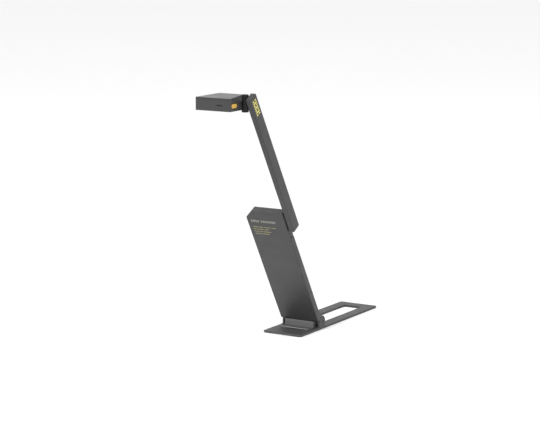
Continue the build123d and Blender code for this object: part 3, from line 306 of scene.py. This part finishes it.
FINISHES = (
    Finish("base_paint", (0.054, 0.054, 0.056), 0.52, Texture.COATED, 0.5, 0.02, specular=0.35, soften=0.5,
           wear_and_highlight=0.5),
    Finish("rubber_pad", (0.020, 0.020, 0.021), 0.85, Texture.RIBBED, 1.2, 0.15, soften=0.0),
    Finish("hinge_casting", (0.090, 0.090, 0.092), 0.46, Texture.COATED, 0.4, 0.01, soften=0.6, wear_and_highlight=0.6),
    Finish("ear_casting", (0.040, 0.040, 0.041), 0.46, Texture.COATED, 0.4, 0.01, specular=0.4, soften=0.5),
    Finish("inner_casting", (0.030, 0.030, 0.031), 0.5, Texture.COATED, 0.7, 0.03, metallic=0.3),
    Finish("elbow_casting", (0.030, 0.030, 0.031), 0.45, Texture.MOULDED, 0.35, 0.008, soften=0.5),
    Finish("stand_shell", (0.033, 0.033, 0.034), 0.42, Texture.MOULDED, 0.40, 0.010, soften=0.4),
    Finish("rear_shell", (0.026, 0.026, 0.027), 0.50, Texture.MOULDED, 0.40, 0.012, soften=0.3),
    Finish("arm_shell", (0.036, 0.036, 0.037), 0.44, Texture.MOULDED, 0.40, 0.010, soften=0.5),
    Finish("arm_inner", (0.030, 0.030, 0.031), 0.46, Texture.MOULDED, 0.40, 0.010, soften=0.3),
    Finish("head_top", (0.034, 0.034, 0.035), 0.36, Texture.MOULDED, 0.40, 0.008, soften=0.3),
    Finish("head_shell", (0.046, 0.046, 0.047), 0.44, Texture.MOULDED, 0.40, 0.010, soften=0.3),
    Finish("neck_black", (0.016, 0.016, 0.016), 0.42, Texture.MOULDED, 0.3, 0.006, specular=0.2, soften=0.3),
    # painted shade: the dark film on the head's facet, which the arm beside it shades
    Finish("facet_painted_shade", (0.012, 0.012, 0.011), 0.50, Texture.MOULDED, 0.4, 0.008, specular=0.12, soften=0.0),
    # painted highlight: the light strip along the rounded front edge of the hinge's foot
    Finish("edge_painted_highlight", (0.300, 0.300, 0.300), 0.45, Texture.BRUSHED, 0.3, 0.006, soften=0.0),
    Finish("bearing_plastic", (0.030, 0.030, 0.030), 0.35, Texture.TURNED, 0.3, 0.004, soften=0.05),
    Finish("steel", (0.560, 0.560, 0.565), 0.30, Texture.TURNED, 0.2, 0.006, metallic=1.0, soften=0.1),
    Finish("screw_steel", (0.040, 0.040, 0.041), 0.36, Texture.TURNED, 0.15, 0.004, metallic=0.6,
           soften=0.08),
    # painted shade: the dark crosses that stand in for the shade inside screw recesses
    Finish("recess_painted_shade", (0.006, 0.006, 0.006), 0.60, Texture.TURNED, 0.1, 0.002, specular=0.2, soften=0.0),
    Finish("mesh_steel", (0.020, 0.020, 0.020), 0.45, Texture.TURNED, 0.1, 0.002, metallic=0.5, soften=0.0),
    Finish("bush_bronze", (0.420, 0.300, 0.130), 0.38, Texture.TURNED, 0.25, 0.006, metallic=1.0, soften=0.1),
    Finish("board", (0.020, 0.120, 0.050), 0.35, Texture.BOARD, 3.0, 0.02, soften=0.0),
    Finish("ribbon", (0.420, 0.210, 0.040), 0.35, Texture.BRUSHED, 0.5, 0.01, soften=0.0),
    Finish("lens_black", (0.010, 0.010, 0.011), 0.55, Texture.TURNED, 0.3, 0.02, soften=0.05),
    Finish("lamp_diffuser", (0.800, 0.790, 0.740), 0.30, Texture.MOULDED, 0.6, 0.01, soften=0.1),
    Finish("bezel_gloss", (0.016, 0.014, 0.004), 0.22, Texture.MOULDED, 0.5, 0.003, coat=0.2, soften=0.2),
    Finish("button_orange", (0.640, 0.390, 0.075), 0.34, Texture.MOULDED, 0.5, 0.006, coat=0.15, soften=0.3,
           wear_and_highlight=0.1),
    Finish("ink_yellow", (0.700, 0.640, 0.150), 0.45, Texture.COATED, 0.25, 0.004, soften=0.0, mottle=0.12),
    Finish("ink_olive", (0.230, 0.215, 0.095), 0.45, Texture.COATED, 0.25, 0.004, soften=0.0, mottle=0.12),
    Finish("ink_pale", (0.330, 0.320, 0.270), 0.45, Texture.COATED, 0.25, 0.004, soften=0.0, mottle=0.12),
    Finish("contact_gold", (0.800, 0.580, 0.220), 0.22, Texture.TURNED, 0.1, 0.002, metallic=1.0, soften=0.0),
)
GLASSES = (
    GlassFinish("window_glass", (0.16, 0.16, 0.18)),
    GlassFinish("lens_glass", (0.55, 0.60, 0.75)),
)
NODE_FINISHES = {
    "hinge_ear_left": "ear_casting",
    "hinge_ear_right": "ear_casting",
    "hinge_pin_left": "screw_steel",
    "hinge_pin_right": "screw_steel",
}


class Palette:
    """Every finish by name, made once."""

    def __init__(self) -> None:
        """Builds all materials."""
        self.materials = {finish.name: finish.build() for finish in (*FINISHES, *GLASSES)}

    def dress(self, piece: bpy.types.Object, finish: str) -> None:
        """Puts one finish on a whole piece.

        Args:
            piece: object to dress.
            finish: name of the finish.
        """
        piece.data.materials.clear()
        piece.data.materials.append(self.materials[finish])


# ---------------------------------------------------------------- mesh helpers
def make_object(name: str, mesh: bmesh.types.BMesh) -> bpy.types.Object:
    """Turns a bmesh into a linked object.

    Args:
        name: object name.
        mesh: geometry, freed afterwards.

    Returns:
        The new object.
    """
    data = bpy.data.meshes.new(name)
    mesh.normal_update()
    mesh.to_mesh(data)
    mesh.free()
    piece = bpy.data.objects.new(name, data)
    bpy.context.scene.collection.objects.link(piece)
    return piece


def smooth_by_angle(piece: bpy.types.Object, degrees: float = 35.0) -> None:
    """Shades a piece smooth except across sharp edges.

    Args:
        piece: object to shade.
        degrees: angle above which an edge stays sharp.
    """
    mesh = bmesh.new()
    mesh.from_mesh(piece.data)
    limit = math.radians(degrees)
    for edge in mesh.edges:
        if len(edge.link_faces) == 2:
            edge.smooth = edge.calc_face_angle(0.0) < limit
    for face in mesh.faces:
        face.smooth = True
    mesh.to_mesh(piece.data)
    mesh.free()


def lathe(mesh: bmesh.types.BMesh, profile: list[tuple[float, float]], frame_of: Matrix,
          steps: int = 40) -> None:
    """Adds a closed turned form.

    Args:
        mesh: geometry to add to.
        profile: radius and height pairs in millimetres, from the axis to the axis.
        frame_of: places the form, its axis along local Z.
        steps: number of sides.
    """
    rings: list[list[bmesh.types.BMVert]] = []
    for radius, height in profile:
        if radius < 1e-6:
            rings.append([mesh.verts.new(frame_of @ Vector((0, 0, height * MM)))])
            continue
        ring = []
        for index in range(steps):
            turn = math.tau * index / steps
            point = Vector((radius * math.cos(turn), radius * math.sin(turn), height)) * MM
            ring.append(mesh.verts.new(frame_of @ point))
        rings.append(ring)
    for low, high in zip(rings, rings[1:]):
        for index in range(steps):
            after = (index + 1) % steps
            corners = [low[index % len(low)], low[after % len(low)]]
            corners += [high[after % len(high)], high[index % len(high)]]
            unique = list(dict.fromkeys(corners))
            if len(unique) > 2:
                mesh.faces.new(unique)


def stadium(length: float, height: float, steps: int = 10) -> list[tuple[float, float]]:
    """Points round a stadium whose length runs along the first axis.

    Args:
        length: overall length in millimetres.
        height: overall height in millimetres.
        steps: points on each round end.

    Returns:
        The outline's points, counter-clockwise.
    """
    radius = min(height, length) / 2
    run = length / 2 - radius
    points = []
    for side in (1, -1):
        for index in range(steps + 1):
            turn = -math.pi / 2 + math.pi * index / steps
            points.append((side * (run + radius * math.cos(turn)), side * radius * math.sin(turn)))
    return points


def relief_plate(mesh: bmesh.types.BMesh, outline: list[tuple[float, float]], frame_of: Matrix,
                 height: float, round_edge: float) -> None:
    """Adds a thin plate with a rounded upper edge.

    Args:
        mesh: geometry to add to.
        outline: points in millimetres in the plate's plane.
        frame_of: places the plate, facing local Z.
        height: plate height in millimetres.
        round_edge: how far the top is drawn in, in millimetres.
    """
    levels = ((1.0, 0.0), (1.0, height - round_edge), (0.55, height - round_edge * 0.25), (0.0, height))
    centre = Vector((sum(p[0] for p in outline), sum(p[1] for p in outline))) / len(outline)
    rings = []
    for keep, level in levels:
        ring = []
        for point in outline:
            away = Vector(point) - centre
            drawn = away - away.normalized() * round_edge * (1.0 - keep)
            spot = Vector((centre.x + drawn.x, centre.y + drawn.y, level)) * MM
            ring.append(mesh.verts.new(frame_of @ spot))
        rings.append(ring)
    count = len(outline)
    for low, high in zip(rings, rings[1:]):
        for index in range(count):
            after = (index + 1) % count
            mesh.faces.new((low[index], low[after], high[after], high[index]))
    mesh.faces.new(rings[-1])
    mesh.faces.new(list(reversed(rings[0])))


def upright(outline: list[tuple[float, float]]) -> list[tuple[float, float]]:
    """Turns an outline a quarter round."""
    return [(-y, x) for x, y in outline]


def open_pill(mesh: bmesh.types.BMesh, size: tuple[float, float], stroke: float, frame_of: Matrix,
              height: float) -> None:
    """Adds a flat ring in the form of an upright pill.

    Args:
        mesh: geometry to add to.
        size: width and height in millimetres.
        stroke: width of the ring's line in millimetres.
        frame_of: places the ring, facing local Z.
        height: thickness in millimetres.
    """
    outer = upright(stadium(size[1], size[0]))
    inner = upright(stadium(size[1] - 2 * stroke, size[0] - 2 * stroke))
    loops = []
    for outline, level in ((outer, 0.0), (outer, height), (inner, height), (inner, 0.0)):
        loops.append([mesh.verts.new(frame_of @ (Vector((x, y, level)) * MM)) for x, y in outline])
    count = len(outer)
    for low, high in zip(loops, loops[1:] + loops[:1]):
        for index in range(count):
            after = (index + 1) % count
            mesh.faces.new((low[index], low[after], high[after], high[index]))


def islands(node: bpy.types.Object) -> list[list[Vector]]:
    """Splits a node's vertices into its separate solids.

    Args:
        node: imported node.

    Returns:
        One list of places for each solid, in the node's own order.
    """
    mesh = bmesh.new()
    mesh.from_mesh(node.data)
    bmesh.ops.remove_doubles(mesh, verts=mesh.verts, dist=1e-7)
    mesh.verts.index_update()
    seen: set[int] = set()
    groups = []
    for start in mesh.verts:
        if start.index in seen:
            continue
        seen.add(start.index)
        stack, group = [start], []
        while stack:
            vert = stack.pop()
            group.append(vert.co.copy())
            for edge in vert.link_edges:
                other = edge.other_vert(vert)
                if other.index not in seen:
                    seen.add(other.index)
                    stack.append(other)
        groups.append(group)
    mesh.free()
    return groups


def frame_facing(origin: Vector, way: Vector) -> Matrix:
    """A frame at a point whose local Z runs one way.

    Args:
        origin: the frame's origin in metres.
        way: direction of local Z.

    Returns:
        The placing matrix.
    """
    return Matrix.Translation(origin) @ way.to_track_quat("Z", "Y").to_matrix().to_4x4()


@dataclass
class Lean:
    """The leaned frame of the stand and arm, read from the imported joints.

    Attributes:
        hinge: the stand's pivot, in metres.
        tilt: the head's tilt pivot, in metres.
        along: direction from the hinge up the stand and arm.
        behind: direction out of the stand's back.
    """

    hinge: Vector = field(init=False)
    tilt: Vector = field(init=False)
    along: Vector = field(init=False)
    behind: Vector = field(init=False)

    def __post_init__(self) -> None:
        """Reads the pivots and works out the two directions."""
        pivots = {joint["name"]: joint.get("pos_m") for joint in frame["joints"]}
        self.hinge = Vector((0.0, *pivots["stand_tilt"][1:]))
        self.tilt = Vector((0.0, *pivots["head_tilt"][1:]))
        self.along = (self.tilt - self.hinge).normalized()
        self.behind = Vector((0.0, self.along.z, -self.along.y))

    def point(self, across: float, behind: float, along: float) -> Vector:
        """Place of a point given in the upright frame, in millimetres.

        Args:
            across: along X.
            behind: behind the hinge plane.
            along: up the stand.

        Returns:
            The place in metres.
        """
        return self.hinge + (Vector((across, 0, 0)) + self.behind * behind + self.along * along) * MM

    def facing_front(self, across: float, behind: float, along: float) -> Matrix:
        """Frame at a point, local Z out of the stand's front, local Y up the stand.

        Args:
            across: along X, in millimetres.
            behind: behind the hinge plane, in millimetres.
            along: up the stand, in millimetres.

        Returns:
            The placing matrix.
        """
        return self._frame(self.point(across, behind, along), Vector((1, 0, 0)), self.along)

    def facing_right(self, across: float, behind: float, along: float) -> Matrix:
        """Frame at a point, local Z along +X, local X up the arm.

        Args:
            across: along X, in millimetres.
            behind: behind the hinge plane, in millimetres.
            along: up the arm, in millimetres.

        Returns:
            The placing matrix.
        """
        return self._frame(self.point(across, behind, along), self.along, -self.behind)

    @staticmethod
    def _frame(origin: Vector, first: Vector, second: Vector) -> Matrix:
        """Builds a frame from its origin and first two directions.

        Args:
            origin: the frame's origin.
            first: local X.
            second: local Y.

        Returns:
            The placing matrix.
        """
        third = first.cross(second)
        turn = Matrix((first, second, third)).transposed().to_4x4()
        return Matrix.Translation(origin) @ turn


# ---------------------------------------------------------------- sub-assemblies
@dataclass
class CadFinishes:
    """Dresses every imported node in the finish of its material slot.

    Attributes:
        palette: finishes to use.
    """

    palette: Palette

    def build(self) -> None:
        """Assigns a finish to each node and shades it."""
        for part in frame["record"]["subparts"]:
            node = frame["nodes"][part["node"]]
            finish = NODE_FINISHES.get(part["node"], part["material_slot"])
            self.palette.dress(node, finish)
            for face in node.data.polygons:
                face.use_smooth = True
            LOG.info("node %s in %s", part["node"], finish)


@dataclass
class Printing:
    """Generic printed marks: pills on the arm's side, open pills and dashes on the stand's front.

    Attributes:
        palette: finishes to use.
        lean: frame of the stand and arm.
        film: thickness of the ink on the stand in millimetres.
        mark_film: thickness of the ink on the arm in millimetres.
        mark_start: middle of the arm's highest pill, up from the stand's hinge.
        mark_pitch: step between the arm's pills.
        mark_size: width and height of one pill.
        mark_gap: gap in the middle of every other pill.
        mark_count: how many pills there are.
        line_left: left end of the stand's printing.
        title_along: middle of the title row, up from the hinge.
        title_pitch: step between the title's pills.
        title_gap: extra step between the title's groups.
        title_words: how many pills each group of the title has.
        title_size: width and height of one title pill.
        title_stroke: stroke of one title pill.
        line_start: middle of the highest line of dashes.
        line_pitch: step between the lines.
        line_height: height of a dash.
        line_words: lengths of the dashes of each line.
        word_gap: space between dashes.
    """

    palette: Palette
    lean: Lean
    film: float = 0.05
    mark_film: float = 0.02
    mark_start: float = 396.6
    mark_pitch: float = 3.55
    mark_size: tuple[float, float] = (2.2, 9.4)
    mark_gap: float = 1.8
    mark_count: int = 7
    line_left: float = -25.0
    title_along: float = 191.0
    title_pitch: float = 3.5
    title_gap: float = 2.1
    title_words: tuple[int, ...] = (4, 7)
    title_size: tuple[float, float] = (2.5, 3.8)
    title_stroke: float = 0.55
    line_start: float = 180.4
    line_pitch: float = 4.1
    line_height: float = 1.15
    line_words: tuple[tuple[float, ...], ...] = (
        (9.0, 6.5, 11.0, 8.0), (5.0, 10.5, 7.0), (8.5, 4.5, 12.0), (10.0, 12.5),
    )
    word_gap: float = 1.1

    def build(self) -> None:
        """Makes every group of marks."""
        self._arm_marks()
        self._stand_title()
        self._stand_lines()

    def _finish(self, name: str, mesh: bmesh.types.BMesh, body: str, ink: str) -> None:
        """Dresses and attaches one group of marks.

        Args:
            name: piece name.
            mesh: geometry.
            body: body that it rides on.
            ink: finish name.
        """
        piece = make_object(name, mesh)
        self.palette.dress(piece, ink)
        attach(piece, body)
        LOG.info("printed %s", name)

    def _arm_marks(self) -> None:
        """Row of whole and split pills along the upper end of the arm's outer side."""
        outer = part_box("arm_shell")[1].x / MM
        wide, high = self.mark_size
        half = (high - self.mark_gap) / 2
        shift = (half + self.mark_gap) / 2
        mesh = bmesh.new()
        for index in range(self.mark_count):
            along = self.mark_start - index * self.mark_pitch
            parts = [(0.0, high)] if index % 2 else [(-shift, half), (shift, half)]
            for behind, length in parts:
                place = self.lean.facing_right(outer, behind, along)
                relief_plate(mesh, upright(stadium(length, wide)), place, self.mark_film, self.mark_film / 2)
        self._finish("arm_marks", mesh, "arm", "ink_yellow")

    def _stand_title(self) -> None:
        """Row of open pills over the printed lines."""
        mesh = bmesh.new()
        across = self.line_left + self.title_size[0] / 2
        for count in self.title_words:
            for _ in range(count):
                place = self.lean.facing_front(across, self._front(), self.title_along)
                open_pill(mesh, self.title_size, self.title_stroke, place, self.film)
                across += self.title_pitch
            across += self.title_gap
        self._finish("stand_title_marks", mesh, "stand", "ink_pale")

    def _stand_lines(self) -> None:
        """Four lines of plain dashes."""
        mesh = bmesh.new()
        for index, words in enumerate(self.line_words):
            across = self.line_left
            along = self.line_start - index * self.line_pitch
            for width in words:
                place = self.lean.facing_front(across + width / 2, self._front(), along)
                relief_plate(mesh, stadium(width, self.line_height), place, self.film, self.film / 2)
                across += width + self.word_gap
        self._finish("stand_lines", mesh, "stand", "ink_olive")

    def _front(self) -> float:
        """How far the stand's front face lies from the hinge plane, in millimetres."""
        verts = frame["nodes"]["stand_front_shell"].data.vertices
        return min((v.co - self.lean.hinge).dot(self.lean.behind) for v in verts) / MM


@dataclass
class ScrewRecesses:
    """Cross-shaped drives on every screw head that can be seen, laid on as dark films of painted shade where the
    recesses would be.

    Attributes:
        palette: finishes to use.
        lean: frame of the stand and arm.
        span: length of the cross in millimetres.
        width: width of the cross in millimetres.
        film: how far the dark cross of painted shade stands over the head in millimetres.
        level_range: how far below its highest point a head's face may reach in millimetres.
    """

    palette: Palette
    lean: Lean
    span: float = 2.0
    width: float = 0.5
    film: float = 0.02
    level_range: float = 0.02

    def build(self) -> None:
        """Makes the drives of the stand's, the arm's and the head's screws."""
        self._drive("cover_screws", self.lean.behind, "stand")
        self._drive("arm_screws", Vector((-1, 0, 0)), "arm")
        self._drive("head_screws", Vector((0, 0, -1)), "head")

    def _drive(self, node: str, way: Vector, body: str) -> None:
        """Makes the crosses of one node's screws.

        Args:
            node: name of the screws' node.
            way: direction that their heads face.
            body: body that they ride on.
        """
        mesh = bmesh.new()
        for group in islands(frame["nodes"][node]):
            level = max(point.dot(way) for point in group)
            face = [point for point in group if level - point.dot(way) < self.level_range * MM]
            place = frame_facing(sum(face, Vector()) / len(face), way)
            bar = stadium(self.span, self.width)
            for outline in (bar, upright(bar)):
                relief_plate(mesh, outline, place, self.film, self.film / 4)
        piece = make_object(f"{node}_drives", mesh)
        # painted shade: the dark film stands in for the shade inside each cross recess
        self.palette.dress(piece, "recess_painted_shade")
        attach(piece, body)
        LOG.info("drives of %s", node)


@dataclass
class Optics:
    """Lens elements and lamp rings under the head.

    Attributes:
        palette: finishes to use.
        dome_radius: radius of the front element in millimetres.
        dome_depth: how far its face bulges in millimetres.
        dome_recess: how far its crown lies inside the barrel in millimetres.
        dome_back: radius and height pairs of its rear face in millimetres.
        dome_steps: rings round its face.
        ring_profile: radius and height pairs of the retaining ring in millimetres.
        lamp_rings: radii of the ridges on the lamp's window in millimetres.
        ridge: half width and height of one ridge in millimetres.
    """

    palette: Palette
    dome_radius: float = 3.1
    dome_depth: float = 0.55
    dome_recess: float = 0.35
    dome_back: tuple[tuple[float, float], ...] = ((1.55, 0.92), (0.0, 0.98))
    dome_steps: int = 8
    ring_profile: tuple[tuple[float, float], ...] = (
        (3.45, 0.05), (3.45, -0.05), (4.0, -0.05), (4.15, 0.0), (4.7, 0.0), (4.7, 0.05), (3.45, 0.05),
    )
    lamp_rings: tuple[float, ...] = (0.8, 1.6, 2.4)
    ridge: tuple[float, float] = (0.2, 0.08)

    def build(self) -> None:
        """Makes the front element, its retaining ring and the lamp's rings."""
        self._front_element()
        self._retaining_ring()
        self._lamp_rings()

    def _centre(self, node: str) -> Vector:
        """Middle of a node's underside.

        Args:
            node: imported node's name.

        Returns:
            The place in metres.
        """
        low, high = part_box(node)
        return Vector(((low.x + high.x) / 2, (low.y + high.y) / 2, low.z))

    def _hang(self, name: str, mesh: bmesh.types.BMesh, look: str) -> None:
        """Makes one round piece and hangs it on the head.

        Args:
            name: piece name.
            mesh: geometry.
            look: finish name.
        """
        piece = make_object(name, mesh)
        smooth_by_angle(piece)
        self.palette.dress(piece, look)
        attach(piece, "head")
        LOG.info("turned %s", name)

    def _front_element(self) -> None:
        """Makes the domed glass in the barrel's dish."""
        profile = []
        for index in range(self.dome_steps + 1):
            turn = math.pi / 2 * index / self.dome_steps
            height = self.dome_recess + self.dome_depth * (1 - math.cos(turn))
            profile.append((self.dome_radius * math.sin(turn), height))
        mesh = bmesh.new()
        lathe(mesh, [*profile, *self.dome_back], Matrix.Translation(self._centre("lens_barrel")))
        self._hang("lens_front_element", mesh, "lens_glass")

    def _retaining_ring(self) -> None:
        """Makes the thin stepped ring round the front element."""
        mesh = bmesh.new()
        lathe(mesh, list(self.ring_profile), Matrix.Translation(self._centre("lens_barrel")))
        self._hang("lens_retaining_ring", mesh, "screw_steel")

    def _lamp_rings(self) -> None:
        """Makes the fine ridges on the lamp's window."""
        mesh = bmesh.new()
        centre = self._centre("lamp_lens")
        half, height = self.ridge
        for radius in self.lamp_rings:
            section = [(radius - half, 0.0), (radius, -height), (radius + half, 0.0), (radius - half, 0.0)]
            lathe(mesh, section, Matrix.Translation(centre))
        self._hang("lamp_ridges", mesh, "lamp_diffuser")


@dataclass
class PaintedShadeAndHighlight:
    """Painted shade and painted highlight: a dark film over the head's slanting facet, which the arm beside it
    shades, and a light strip along the rounded front edge of the hinge's foot.

    Attributes:
        palette: finishes to use.
        covers: nodes that share the facet.
        facet_right: least and most share of the facet's direction that points right.
        facet_up: least share of it that points up.
        facet_back: least share of it that points back.
        film: how far the dark film of painted shade stands over the covers in millimetres.
        edge_width: width of the painted highlight strip in millimetres.
        edge_margin: end of the foot to the end of the highlight strip in millimetres.
        edge_height: base plate's top to the middle of the highlight strip in millimetres.
        edge_inset: foot's front to the middle of the highlight strip in millimetres.
        edge_relief: thickness of the highlight strip in millimetres.
    """

    palette: Palette
    covers: tuple[str, ...] = ("head_top_cover", "head_bottom_cover")
    facet_right: tuple[float, float] = (0.66, 0.75)
    facet_up: float = 0.6
    facet_back: float = 0.1
    film: float = 0.03
    edge_width: float = 0.55
    edge_margin: float = 2.6
    edge_height: float = 0.65
    edge_inset: float = 0.25
    edge_relief: float = 0.04

    def build(self) -> None:
        """Makes both pieces."""
        self._facet()
        self._edge()

    def _facet(self) -> None:
        """Lays a dark film of painted shade over the flat faces that slant to the upper right, where the arm
        beside the head shades them.
        """
        mesh = bmesh.new()
        low, high = self.facet_right
        middle = sum(corner.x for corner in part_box(self.covers[0])) / 2
        for name in self.covers:
            data = frame["nodes"][name].data
            for face in data.polygons:
                normal = face.normal
                rises = normal.z > self.facet_up and normal.y > self.facet_back
                if rises and low < normal.x < high and face.center.x > middle:
                    lift = normal * self.film * MM
                    mesh.faces.new([mesh.verts.new(data.vertices[i].co + lift) for i in face.vertices])
        bmesh.ops.remove_doubles(mesh, verts=mesh.verts, dist=0.001 * MM)
        # painted shade: the facet is darkened to stand in for the arm's shade on it
        piece = make_object("head_facet_shade_film", mesh)
        self.palette.dress(piece, "facet_painted_shade")
        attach(piece, "head")
        LOG.info("inlay of the facet with %d faces", len(piece.data.polygons))

    def _edge(self) -> None:
        """Makes the light strip of painted highlight along the rounded front edge of the hinge's foot."""
        low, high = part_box("hinge_block")
        length = (high.x - low.x) / MM - 2 * self.edge_margin
        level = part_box("base_plate")[1].z + self.edge_height * MM
        origin = Vector(((low.x + high.x) / 2, low.y + self.edge_inset * MM, level))
        frame_of = frame_facing(origin, Vector((0, -1, 1)).normalized())
        across = frame_of.to_3x3().inverted() @ Vector((1, 0, 0))
        turn = Matrix.Rotation(math.atan2(across.y, across.x), 4, "Z")
        mesh = bmesh.new()
        outline = stadium(length, self.edge_width)
        relief_plate(mesh, outline, frame_of @ turn, self.edge_relief, self.edge_relief / 2)
        piece = make_object("foot_painted_highlight", mesh)
        # painted highlight: a light strip standing in for the sheen on the foot's rounded front edge
        self.palette.dress(piece, "edge_painted_highlight")
        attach(piece, "base")
        LOG.info("bare edge of the foot")


@dataclass
class InletContacts:
    """Plated contacts on the tongue of the signal inlet.

    Attributes:
        palette: finishes to use.
        lean: frame of the stand and arm.
        count: contacts on each face.
        pitch: step between them in millimetres.
        pad: width of one round contact in millimetres.
        depth: the inlet's mouth to the middle of a contact in millimetres.
        tongue: half the thickness of the tongue in millimetres.
        film: thickness of the plating in millimetres.
    """

    palette: Palette
    lean: Lean
    count: int = 8
    pitch: float = 0.62
    pad: float = 0.3
    depth: float = 2.9
    tongue: float = 0.35
    film: float = 0.03

    def build(self) -> None:
        """Makes the contacts along both faces of the tongue."""
        low, high = self._span()
        mesh = bmesh.new()
        middle = (low.z + high.z) / 2
        for face in (-1, 1):
            for index in range(self.count):
                along = middle + (index - (self.count - 1) / 2) * self.pitch
                behind = (low.y + high.y) / 2 + face * self.tongue
                origin = self.lean.point(low.x + self.depth, behind, along)
                place = frame_facing(origin, self.lean.behind * face)
                relief_plate(mesh, stadium(self.pad, self.pad), place, self.film, self.film / 3)
        piece = make_object("inlet_contacts", mesh)
        self.palette.dress(piece, "contact_gold")
        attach(piece, "stand")
        LOG.info("contacts of the inlet")

    def _span(self) -> tuple[Vector, Vector]:
        """Limits of the inlet in the stand's upright frame, in millimetres.

        Returns:
            Its lower and upper corners.
        """
        points = []
        for vert in frame["nodes"]["signal_inlet"].data.vertices:
            offset = vert.co - self.lean.hinge
            points.append(Vector((offset.x, offset.dot(self.lean.behind), offset.dot(self.lean.along))) / MM)
        low = Vector([min(p[i] for p in points) for i in range(3)])
        high = Vector([max(p[i] for p in points) for i in range(3)])
        return low, high


@dataclass(frozen=True)
class SoftBox:
    """One square soft light.

    Attributes:
        name: light name.
        place: where it hangs, in metres.
        aim: what it faces, in metres.
        side: side of the square, in metres.
        power: power in watts.
        spread: how wide it throws, in degrees.
    """

    name: str
    place: tuple[float, float, float]
    aim: tuple[float, float, float]
    side: float
    power: float
    spread: float = 180.0

    def build(self) -> None:
        """Makes the light and turns it to its aim."""
        data = bpy.data.lights.new(self.name, "AREA")
        data.size = self.side
        data.energy = self.power
        data.spread = math.radians(self.spread)
        light = bpy.data.objects.new(self.name, data)
        light.location = self.place
        light.rotation_mode = "QUATERNION"
        light.rotation_quaternion = (Vector(self.aim) - Vector(self.place)).to_track_quat("-Z", "Y")
        bpy.context.scene.collection.objects.link(light)
        LOG.info("light %s", self.name)


SOFT_BOXES = (
    SoftBox("top_softbox", (0.0, 0.2, 3.2), (0.0, -0.05, 0.2), 6.0, 28.0),
    SoftBox("right_softbox", (2.1, -0.9, 0.9), (0.0, -0.1, 0.2), 1.3, 3.0),
    SoftBox("foot_softbox", (-0.30, -0.62, 0.50), (0.0, -0.035, 0.0), 0.25, 0.16, 36.0),
    SoftBox("hinge_softbox", (-0.25, -0.80, 0.16), (0.01, -0.02, 0.03), 0.25, 0.035, 24.0),
)


@dataclass
class Studio:
    """Pale floor, soft lights and the camera.

    Attributes:
        aim: point that the camera looks at, in metres.
        azimuth: camera's bearing round the object, in degrees.
        elevation: camera's height above the horizon, in degrees.
        distance: camera's distance from the aim, in metres.
        lens: focal length in millimetres.
        sensor: width of the camera's sensor in millimetres.
        floor_side: side of the floor, in metres.
        floor_grey: linear grey of the floor.
    """

    aim: tuple[float, float, float] = (0.0, -0.0955, 0.1725)
    azimuth: float = 31.2
    elevation: float = 9.8
    distance: float = 2.682
    lens: float = 126.9
    sensor: float = 36.0
    floor_side: float = 30.0
    floor_grey: float = 0.92

    def build(self) -> None:
        """Makes everything round the object."""
        self._camera()
        self._floor()
        self._world()
        for box in SOFT_BOXES:
            box.build()
        bpy.context.scene.view_settings.view_transform = "Standard"

    def _camera(self) -> None:
        """Makes the camera and sets it as the scene's own."""
        turn, rise = math.radians(self.azimuth), math.radians(self.elevation)
        back = Vector((math.sin(turn) * math.cos(rise), -math.cos(turn) * math.cos(rise), math.sin(rise)))
        data = bpy.data.cameras.new("camera")
        data.lens = self.lens
        data.sensor_width = self.sensor
        data.clip_start, data.clip_end = 0.1, 100.0
        camera = bpy.data.objects.new("camera", data)
        camera.location = Vector(self.aim) + back * self.distance
        camera.rotation_mode = "QUATERNION"
        camera.rotation_quaternion = (-back).to_track_quat("-Z", "Y")
        bpy.context.scene.collection.objects.link(camera)
        bpy.context.scene.camera = camera

    def _floor(self) -> None:
        """Makes the plain pale floor."""
        mesh = bmesh.new()
        bmesh.ops.create_grid(mesh, x_segments=1, y_segments=1, size=self.floor_side / 2)
        floor = make_object("floor", mesh)
        material = bpy.data.materials.new("floor_paper")
        material.use_nodes = True
        shader = material.node_tree.nodes["Principled BSDF"]
        shader.inputs["Base Color"].default_value = (*(self.floor_grey,) * 3, 1.0)
        shader.inputs["Roughness"].default_value = 0.9
        floor.data.materials.append(material)

    def _world(self) -> None:
        """Makes the pale surroundings."""
        world = bpy.data.worlds.new("studio")
        world.use_nodes = True
        background = world.node_tree.nodes["Background"]
        background.inputs["Color"].default_value = (1.0, 1.0, 1.0, 1.0)
        background.inputs["Strength"].default_value = 1.0
        bpy.context.scene.world = world


def main() -> None:
    """Builds the studio, the finishes and every added piece."""
    logging.basicConfig(level=logging.INFO, format="%(name)s: %(message)s")
    palette = Palette()
    lean = Lean()
    Studio().build()
    CadFinishes(palette).build()
    Printing(palette, lean).build()
    ScrewRecesses(palette, lean).build()
    Optics(palette).build()
    InletContacts(palette, lean).build()
    PaintedShadeAndHighlight(palette).build()


if __name__ == "__main__":
    main()
